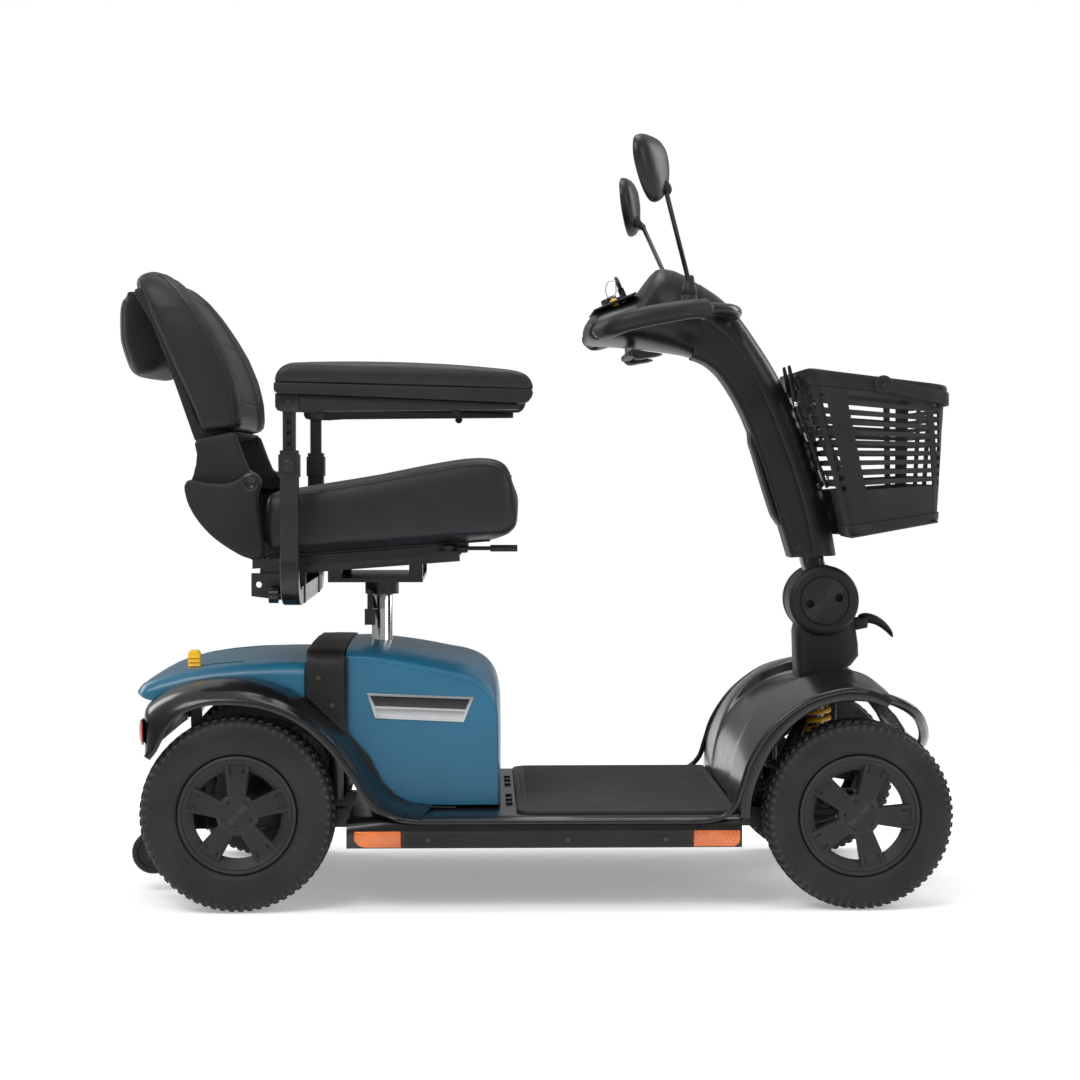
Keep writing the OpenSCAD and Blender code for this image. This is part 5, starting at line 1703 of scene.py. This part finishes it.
def backrest_pad():
    rows = []
    for t in station_steps(BACKREST, 46):
        front, rear, w = backrest_station(t)
        # y, share of the way from rear to front
        half = [(0, 0), (w * .7, 0), (w - 16, .02), (w - 4, .12), (w, .35), (w, .62),
                (w - 4, .85), (w - 14, .97), (w - 32, 1), (w - 52, .97), (w - 66, .90),
                (w - 100, .88), (0, .88)]
        section = half + [(-y, depth) for y, depth in half[-2:0:-1]]
        points = [(*(rear + (front - rear) * depth), y) for y, depth in section]
        rows.append(spline(points, 120, closed=True)[:, [0, 2, 1]])
    pad = grid_mesh(rows, VINYL, ring=True, cap=True)
    front_edges = [backrest_line(s * 201, .86, 0.3, 8.7) for s in SIDES]
    rear_edges = [backrest_line(s * 201, .14, 0.3, 8.7) for s in SIDES]
    panel_edges = [backrest_line(s * 138, .9, 0.4, 8.6) for s in SIDES]
    cross_lines = [backrest_cross(t) for t in (1.9, 4.4, 6.7)]
    edge_pin = near(front_edges + rear_edges + panel_edges, 7)
    cross_pin = near(cross_lines, 5)
    inflate(pad, pressure=4.0, pins=lambda P: np.clip(edge_pin(P) + .7 * cross_pin(P), 0, 1),
            voxel=6, limit=6, frames=16)
    skin = skin_of(pad)
    seams = []
    for line, s in zip(front_edges, SIDES):
        seams += seam(skin, line, 1.7, beside=(.6, -s, .1), distance=4.5)
    for line in rear_edges:
        seams += seam(skin, line, 1.5)
    for line, s in zip(panel_edges, SIDES):
        seams += seam(skin, line, 1.1, beside=(0, s, 0))
    for line in cross_lines:
        seams += seam(skin, line, 1.0, beside=(0, 0, 1))
    # hem along the bottom edge
    seams += seam(skin, [(-424, -196, 699), (-421, -100, 700), (-421, 0, 700),
                         (-421, 100, 700), (-424, 196, 699)], 1.2, beside=(0, 0, 1), distance=5)
    return pad, seams


def storage_pouch():
    """Cloth pouch behind the backrest."""
    stations = (  # z, outer (rear) x, inner x, half width
        (773, -592, -570, 138), (777, -601, -556, 145), (788, -606, -545, 147),
        (806, -612, -547, 148), (824, -617.5, -551, 148), (845, -618, -557, 148),
        (866, -618, -565, 148), (880, -617, -571, 147), (890, -609, -576, 145),
        (897, -600, -581, 141))
    rows = []
    for t in station_steps(stations, 26):
        z, outer, inner, w = at_station(stations, t)
        deep = outer + 25 < inner
        half = [(inner, 0), (inner, w - 14), (inner + (outer - inner) * .25, w - 3),
                (outer + (25 if deep else 8), w), (outer + (19 if deep else 5), w - 7),
                (outer + 12, w - 24), (outer + 4, w * .5), (outer, 0)]
        section = half + [(x, -y) for x, y in half[-2:0:-1]]
        rows.append(spline([(x, y, z) for x, y in section], 80, closed=True))
    pouch = grid_mesh(rows, CLOTH, ring=True, cap=True)
    pin_lines = [[(-606, s * 142, 786), (-615, s * 144, 822), (-616, s * 144, 860),
                  (-606, s * 143, 886)] for s in SIDES]
    pin_lines.append([(-600, y, 892) for y in (-140, -60, 0, 60, 140)])
    edge_pin = near(pin_lines, 9)
    inflate(pouch, pressure=1.2, voxel=6, limit=5, frames=14,
            pins=lambda P: np.clip(edge_pin(P) + (P[:, 0] * 1000 > -590), 0, 1))
    skin = skin_of(pouch)
    seams = seam(skin, [(-604, -143, 884), (-606, -60, 884), (-606, 0, 884), (-606, 60, 884),
                        (-604, 143, 884)], 1.3, beside=(0, 0, -1), distance=6, material=CLOTH)
    for s in SIDES:
        seams += seam(skin, [(-604, s * 141, 786), (-615, s * 143, 820), (-616, s * 143, 858),
                             (-606, s * 142, 884)], 1.5, beside=(0, -s, 0), distance=5,
                      material=CLOTH)
    return pouch, seams


def backrest_cushion():
    pad, pad_seams = backrest_pad()
    pouch, pouch_seams = storage_pouch()
    assemble("backrest_cover_sewn", [pad, pouch] + pad_seams + pouch_seams, "backrest",
             "backrest_cushion", "vinyl")


HINGE = (-405, 614)             # x, z where the backrest folds


def backrest_shell():
    """Moulded back with a hinge wing at each side."""
    back = [(-485, 700), (-513, 776), (-541, 846), (-560, 890), (-566, 897), (-577, 896),
            (-578, 890), (-553, 846), (-526, 776), (-497, 692), (-491, 675), (-478, 671),
            (-440, 681), (-430, 687)]
    wing = [(-395, 605), (-392, 616), (-398, 626), (-410, 632), (-418, 651), (-430, 684),
            (-436, 687), (-484, 677), (-489, 671), (-485.5, 655), (-487, 640), (-491, 624),
            (-495, 614.5), (-478, 607), (-440, 601), (-411, 599)]
    parts = [slab(back, -181, 181, TEXTURED, bevel=3)]
    for s in SIDES:
        hole = cross_cylinder(*HINGE, 6.8, *span(s, 178, 210))
        parts.append(cut_away(slab(wing, *span(s, 182, 203), TEXTURED, bevel=3.5), [hole]))
    assemble("backrest_back_panel", parts, "backrest", "backrest_shell", "satin_black",
             angle=40)


def seat_pan():
    """Pan under the cushion, curved up behind it, with side bolsters and hinge pins."""
    x, z = HINGE
    parts = [slab([(-404, 501), (-60, 526.5), (-60, 530), (-404, 505)], -150, 150, TEXTURED,
                  bevel=1)]
    outer = [(-499, 612), (-496.5, 588), (-484.5, 564), (-463.5, 539), (-435.5, 518),
             (-404, 501)]
    inner = [(-404, 505), (-434, 523), (-460, 543), (-480, 566), (-491.5, 589), (-494.5, 612)]
    curve = list(spline(outer, 24)) + list(spline(inner, 24))
    parts.append(slab(curve, -208, 208, TEXTURED, bevel=0.8))
    bolster = spline([(-500, 613), (-497, 588), (-485, 564), (-464, 539), (-436, 518),
                      (-410, 505), (-392, 504), (-387, 512), (-390, 550), (-395, 592),
                      (-391, 612), (-396, 625), (-409, 630), (-422, 620), (-440, 613),
                      (-470, 614), (-492, 618)], 72, closed=True)
    pin = [(0.01, 184), (5.9, 184), (5.9, 210), (12, 210), (12.5, 232.2), (11, 233),
           (8, 233.2), (6, 231.8), (0.01, 231.8)]
    strip = [(-404, 501), (-389, 502), (-389, 506), (-404, 505.5)]
    for s in SIDES:
        parts.append(slab(bolster, *span(s, 206, 231.5), TEXTURED, bevel=6, segments=4))
        parts.append(lathe(pin, (x, 0, z), FRAME, n=32, side=s))
        parts.append(slab(strip, *span(s, 149, 208), TEXTURED, bevel=0.5))
    assemble("seat_pan_moulding", parts, "seat_frame", "seat_pan", "satin_black", angle=40)


seat_cushion()
backrest_cushion()
backrest_shell()
seat_pan()


# ------------------------------------------------------------------ armrests
def armrest(letter):
    s = SIDE_OF[letter]
    middle_y = s * 268.5
    fall = 0.0255               # slope of the pad's underside
    top = ((-366, 757), (-364, 768), (-358, 778), (-345, 784.5), (-300, 785), (-188, 783.5),
           (-100, 780), (-28, 774.5), (-12, 770), (-4, 763), (0, 754), (1, 748))   # x, z
    rows = []
    for t in station_steps(top, 44):
        x, high = at_station(top, t)
        low = 754.2 - (x + 367) * fall
        high = max(high, low + 4)
        w = (22.3 * (1 - 0.30 * max(0, (t - 9.5) / 1.5) ** 2)
             * (1 - 0.14 * max(0, 1 - t) ** 2))
        row = []
        for a in around(56):
            c, sine = math.cos(a), math.sin(a)
            row.append((x, middle_y + w * power(c, .50),
                        (high + low) / 2 + (high - low) / 2 * power(sine, .50 if sine > 0 else .26)))
        rows.append(row)
    pad = grid_mesh(rows, VINYL, ring=True, cap=True)
    base_lines = [[(-363, middle_y + q * 21.6, 758.5), (-190, middle_y + q * 22, 754),
                   (-4, middle_y + q * 19, 749)] for q in (-1, 1)]
    base_pin = near(base_lines, 5)

    def pins(P):
        underside = P[:, 2] * 1000 < 758 - (P[:, 0] * 1000 + 367) * fall
        return np.clip(base_pin(P) + underside, 0, 1)

    inflate(pad, pressure=2.5, pins=pins, voxel=4, limit=2.5, frames=12)
    skin = skin_of(pad)
    seams = []
    for line in base_lines:
        seams += seam(skin, line, 1.2, beside=(0, 0, 1))
    tray = [(-366.5, 756.4), (-366.5, 744), (-361, 740.6), (-120, 731), (-22, 726.9),
            (-11, 727.2), (-5, 730.5), (-1.2, 736), (0.2, 741.5), (-1.2, 747)]
    rod = [(-300, 715.5), (-20, 718), (-20, 722), (-300, 720)]
    plate = [(-333, 739), (-333, 716), (-327, 713.8), (-300, 715.8), (-24, 718), (-20, 720),
             (-20, 726.5)]
    ear = [(-365, 741), (-365, 722), (-362, 716.5), (-356, 715), (-330, 714), (-330, 740)]
    pin = [(0.01, 254.4), (4, 254.4), (4.6, 255), (3, 256), (3, 283), (4.6, 284), (4, 285.6),
           (0.01, 285.6)]
    stop = [(0.01, 266), (6, 266), (6, 272), (0.01, 272)]
    parts = [pad,
             slab(plate, *span(s, 256, 283), TEXTURED, bevel=1.5),
             lathe(pin, (POST_X, 0, 728), FRAME, n=24, side=s),
             lathe(stop, (-110, 0, 715), GRIP, n=24, side=s)]
    parts += [slab(ear, *span(s, y, y + 3.5), FRAME, bevel=0.5) for y in (256, 279.5)]
    parts += seams
    parts += [slab(tray, *span(s, 246.2, 290.8), TEXTURED, bevel=2.4, segments=4),
              slab(rod, *span(s, 262, 276), FRAME, bevel=0.6)]
    assemble(f"armrest_{letter}_pad_sewn", parts, f"armrest_{letter}", f"armrest_{letter}",
             "vinyl")


def rounded_corners(half_x, half_y, radius, steps):
    """Rounded rectangle about the origin; half sizes are to the corner centres."""
    return [(sx * half_x + radius * math.cos(a), sy * half_y + radius * math.sin(a))
            for sx, sy, start in ((1, 1, 0), (-1, 1, 90), (-1, -1, 180), (1, -1, 270))
            for a in np.radians(np.linspace(start, start + 90, steps))]


def square_tube(side, half_x, half_y, z0, z1, wall, radius, name="part"):
    """Upright tube on an armrest post's axis; wall=0 makes a solid bar."""
    def ring(inset, z):
        r = max(radius - inset, .4)
        corners = rounded_corners(half_x - inset - r, half_y - inset - r, r, 6)
        return [(POST_X + x, side * POST_Y + y, z) for x, y in corners]

    if wall:
        steps = ((wall, z0), (0.3, z0), (0, z0 + .4), (0, z1 - .4), (.4, z1), (wall - .3, z1),
                 (wall, z1 - .4))
    else:
        steps = ((1, z0), (0, z0 + 1), (0, z1 - 1), (1, z1))
    rows = [ring(inset, z) for inset, z in steps]
    return shade(grid_mesh(rows, FRAME, ring=True, loop=bool(wall), cap=not wall, name=name))


def armrest_post(letter):
    """Square bar with a row of adjustment holes and a pin hole at the top."""
    s = SIDE_OF[letter]
    post = square_tube(s, 9, 9, 560, 733, 0, 2, name=f"armrest_post_{letter}_tube")
    holes = [cross_cylinder(POST_X, z, 3.2, *span(s, 268, 290), 20) for z in range(610, 701, 15)]
    holes.append(cross_cylinder(POST_X, 728, 3.05, *span(s, 250, 290), 20))
    shade(cut_away(post, holes))
    register(post, f"armrest_post_{letter}", f"armrest_post_{letter}", "frame_black")


def armrest_sleeves():
    """Sleeve, collar, clamp knob and bent foot on each side."""
    knob = [(0.01, 283.6), (9, 283.6), (10, 284.6), (9.4, 288), (7, 289.4), (0.01, 289.6)]
    foot = [(270, 503), (270, 486), (267, 472), (258, 460), (244, 452.5), (226, 449.6),
            (202, 449)]   # y, z
    parts = []
    for s in SIDES:
        parts.append(square_tube(s, 13, 12.5, 500, 660, 3.6, 3))
        parts.append(square_tube(s, 15, 14.5, 622, 654, 2.2, 3))
        parts.append(lathe(knob, (POST_X, 0, 638), MATTE, n=28, side=s))
        path = spline([(0, s * y, z) for y, z in foot], 26)
        along = np.gradient(path, axis=0)
        along /= np.linalg.norm(along, axis=1)[:, None]
        rows = []
        for p, t in zip(path, along):
            normal = np.cross(t, (1, 0, 0))
            rows.append([p + (POST_X + a, 0, 0) + normal * b
                         for a, b in rounded_corners(10, 9.5, 3, 5)])
        parts.append(shade(grid_mesh(rows, FRAME, ring=True, cap=True), 40))
    assemble("armrest_sleeve_tubes", parts, "seat_frame", "armrest_sleeves", "frame_black")


armrest("r")
armrest("l")
armrest_post("r")
armrest_post("l")
armrest_sleeves()


# ------------------------------------------------------------------ seat post, kept CAD pieces
def seat_post():
    """Chrome post with two thin rings."""
    axis = (-226, 0, 0)
    parts = [lathe([(0.01, 150), (14, 150), (16, 152), (16, 452), (14.5, 455), (0.01, 455)],
                   axis, CHROME, axis="z")]
    parts += [lathe([(15.6, z), (16.02, z + .4), (16.02, z + 1.2), (15.6, z + 1.6)], axis,
                    ZINC, axis="z") for z in (388, 418)]
    assemble("seat_post_chrome", parts, "seat_post", "seat_post", "chrome", angle=35)


seat_post()

KEPT = {  # CAD piece: material, slot
    "main_frame": (FRAME, "frame_black"),
    "battery_packs": (BATTERY, "battery_grey"),
    "drive_unit": (CAST, "cast_grey"),
    "front_shocks": (ZINC, "zinc"),
    "body_screws": (FRAME, "zinc"),
    "front_axle": (FRAME, "frame_black"),
    "knuckle_r": (CAST, "cast_grey"),
    "knuckle_l": (CAST, "cast_grey"),
    "tie_rod": (ZINC, "zinc"),
    "seat_base": (FRAME, "frame_black"),
    "seat_frame": (FRAME, "frame_black"),
    "slide_lever": (MATTE, "matte_black"),
}
for node_name, (material, slot) in KEPT.items():
    piece = frame["nodes"][node_name]
    if not piece.material_slots:
        piece.data.materials.append(material)
    for material_slot in piece.material_slots:
        material_slot.link = "OBJECT"
        material_slot.material = material
    bevel = piece.modifiers.new("edge", "BEVEL")
    bevel.width = 0.0009
    bevel.segments = 2
    bevel.limit_method = "ANGLE"
    bevel.angle_limit = math.radians(40)
    bevel.use_clamp_overlap = True
    try:
        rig.slot(piece, slot)
    except Exception:
        pass


# ------------------------------------------------------------------ studio
def floor_paint():
    """Pale floor that fades into glowing white away from the origin."""
    material = bpy.data.materials.new("studio_floor_paint")
    material.use_nodes = True
    tree = material.node_tree
    link = tree.links.new
    paint = tree.nodes["Principled BSDF"]
    for socket, value in (("Base Color", (0.93, 0.93, 0.935, 1)), ("Roughness", 0.6),
                          ("Specular IOR Level", 0.2), ("Emission Color", (1, 1, 1, 1)),
                          ("Emission Strength", 0.30)):
        paint.inputs[socket].default_value = value
    noise = add_node(tree, "ShaderNodeTexNoise", {"Scale": 3})
    rough = add_node(tree, "ShaderNodeMapRange", {"To Min": 0.55, "To Max": 0.68})
    link(noise.outputs["Fac"], rough.inputs["Value"])
    link(rough.outputs["Result"], paint.inputs["Roughness"])
    geometry = add_node(tree, "ShaderNodeNewGeometry")
    distance = add_node(tree, "ShaderNodeVectorMath")
    distance.operation = "LENGTH"
    fade = add_node(tree, "ShaderNodeMapRange", {"From Min": 0.75, "From Max": 1.9})
    fade.interpolation_type = "SMOOTHERSTEP"
    glow = add_node(tree, "ShaderNodeEmission", {"Color": (1, 1, 1, 1)})
    mix = add_node(tree, "ShaderNodeMixShader")
    link(geometry.outputs["Position"], distance.inputs[0])
    link(distance.outputs["Value"], fade.inputs["Value"])
    link(fade.outputs["Result"], mix.inputs["Fac"])
    link(paint.outputs["BSDF"], mix.inputs[1])
    link(glow.outputs["Emission"], mix.inputs[2])
    link(mix.outputs["Shader"], tree.nodes["Material Output"].inputs["Surface"])
    return material


def studio_floor():
    reach, z = 60.0, -0.0005    # metres
    mesh = bpy.data.meshes.new("floor")
    mesh.from_pydata([(-reach, -reach, z), (reach, -reach, z), (reach, reach, z),
                      (-reach, reach, z)], [], [(0, 1, 2, 3)])
    floor = link_object("studio_floor", mesh)
    mesh.materials.append(floor_paint())
    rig.stage(floor)


def studio_world():
    """White backdrop for the camera; the light itself is a gradient, brighter overhead."""
    world = bpy.data.worlds.new("studio")
    scene.world = world
    world.use_nodes = True
    tree = world.node_tree
    link = tree.links.new
    white = (1, 1, 1, 1)
    room = tree.nodes["Background"]
    room.inputs["Color"].default_value = white
    room.inputs["Strength"].default_value = 0.55
    path = add_node(tree, "ShaderNodeLightPath")
    coords = add_node(tree, "ShaderNodeTexCoord")
    split = add_node(tree, "ShaderNodeSeparateXYZ")
    gradient = add_node(tree, "ShaderNodeMapRange", {"From Min": -0.1, "From Max": 1.0,
                                                     "To Min": 0.10, "To Max": 0.85})
    backdrop = add_node(tree, "ShaderNodeBackground", {"Color": white, "Strength": 1.0})
    mix = add_node(tree, "ShaderNodeMixShader")
    link(coords.outputs["Generated"], split.inputs["Vector"])
    link(split.outputs["Z"], gradient.inputs["Value"])
    link(gradient.outputs["Result"], room.inputs["Strength"])
    link(path.outputs["Is Camera Ray"], mix.inputs["Fac"])
    link(room.outputs["Background"], mix.inputs[1])
    link(backdrop.outputs["Background"], mix.inputs[2])
    link(mix.outputs["Shader"], tree.nodes["World Output"].inputs["Surface"])


def softbox(name, location, width, height, watts, target):
    light = bpy.data.lights.new(name, "AREA")
    light.energy = watts
    light.shape = "RECTANGLE"
    light.size = width
    light.size_y = height
    obj = link_object(name, light)
    obj.location = location
    toward = Vector(target) - Vector(location)
    obj.rotation_euler = toward.to_track_quat("-Z", "Y").to_euler()
    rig.stage(obj)


def studio_camera():
    data = bpy.data.cameras.new("cam")
    data.lens = 77.8
    data.sensor_width = 36
    data.clip_end = 200
    camera = link_object("cam", data)
    camera.location = (-0.075, -3.6, 0.632)
    direction = Vector((0.025701435, 1, -0.029985007))
    camera.rotation_euler = direction.to_track_quat("-Z", "Y").to_euler()
    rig.stage(camera)
    scene.camera = camera


studio_floor()
studio_world()
softbox("key_softbox", location=(-1.6, -2.4, 2.9), width=1.9, height=1.3, watts=62,
        target=(0, 0, 0.5))
softbox("fill_softbox", location=(2.6, -2.2, 1.7), width=1.6, height=1.8, watts=24,
        target=(0.1, 0, 0.55))
softbox("top_softbox", location=(0.2, 0.1, 3.2), width=2.4, height=1.2, watts=40,
        target=(0, 0, 0.4))
softbox("rear_strip", location=(-2.4, 1.8, 1.9), width=1.0, height=1.8, watts=22,
        target=(0, 0, 0.6))
softbox("front_strip", location=(2.6, 1.6, 1.7), width=0.9, height=1.6, watts=18,
        target=(0.2, 0, 0.6))
scene.view_settings.view_transform = "Standard"
scene.view_settings.look = "None"
studio_camera()

VISUAL_BOX = [list(map(float, p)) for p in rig.bounds()]
with open("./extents.json", "w") as f:
    json.dump({"cad": CAD_BOX, "visual": VISUAL_BOX}, f)
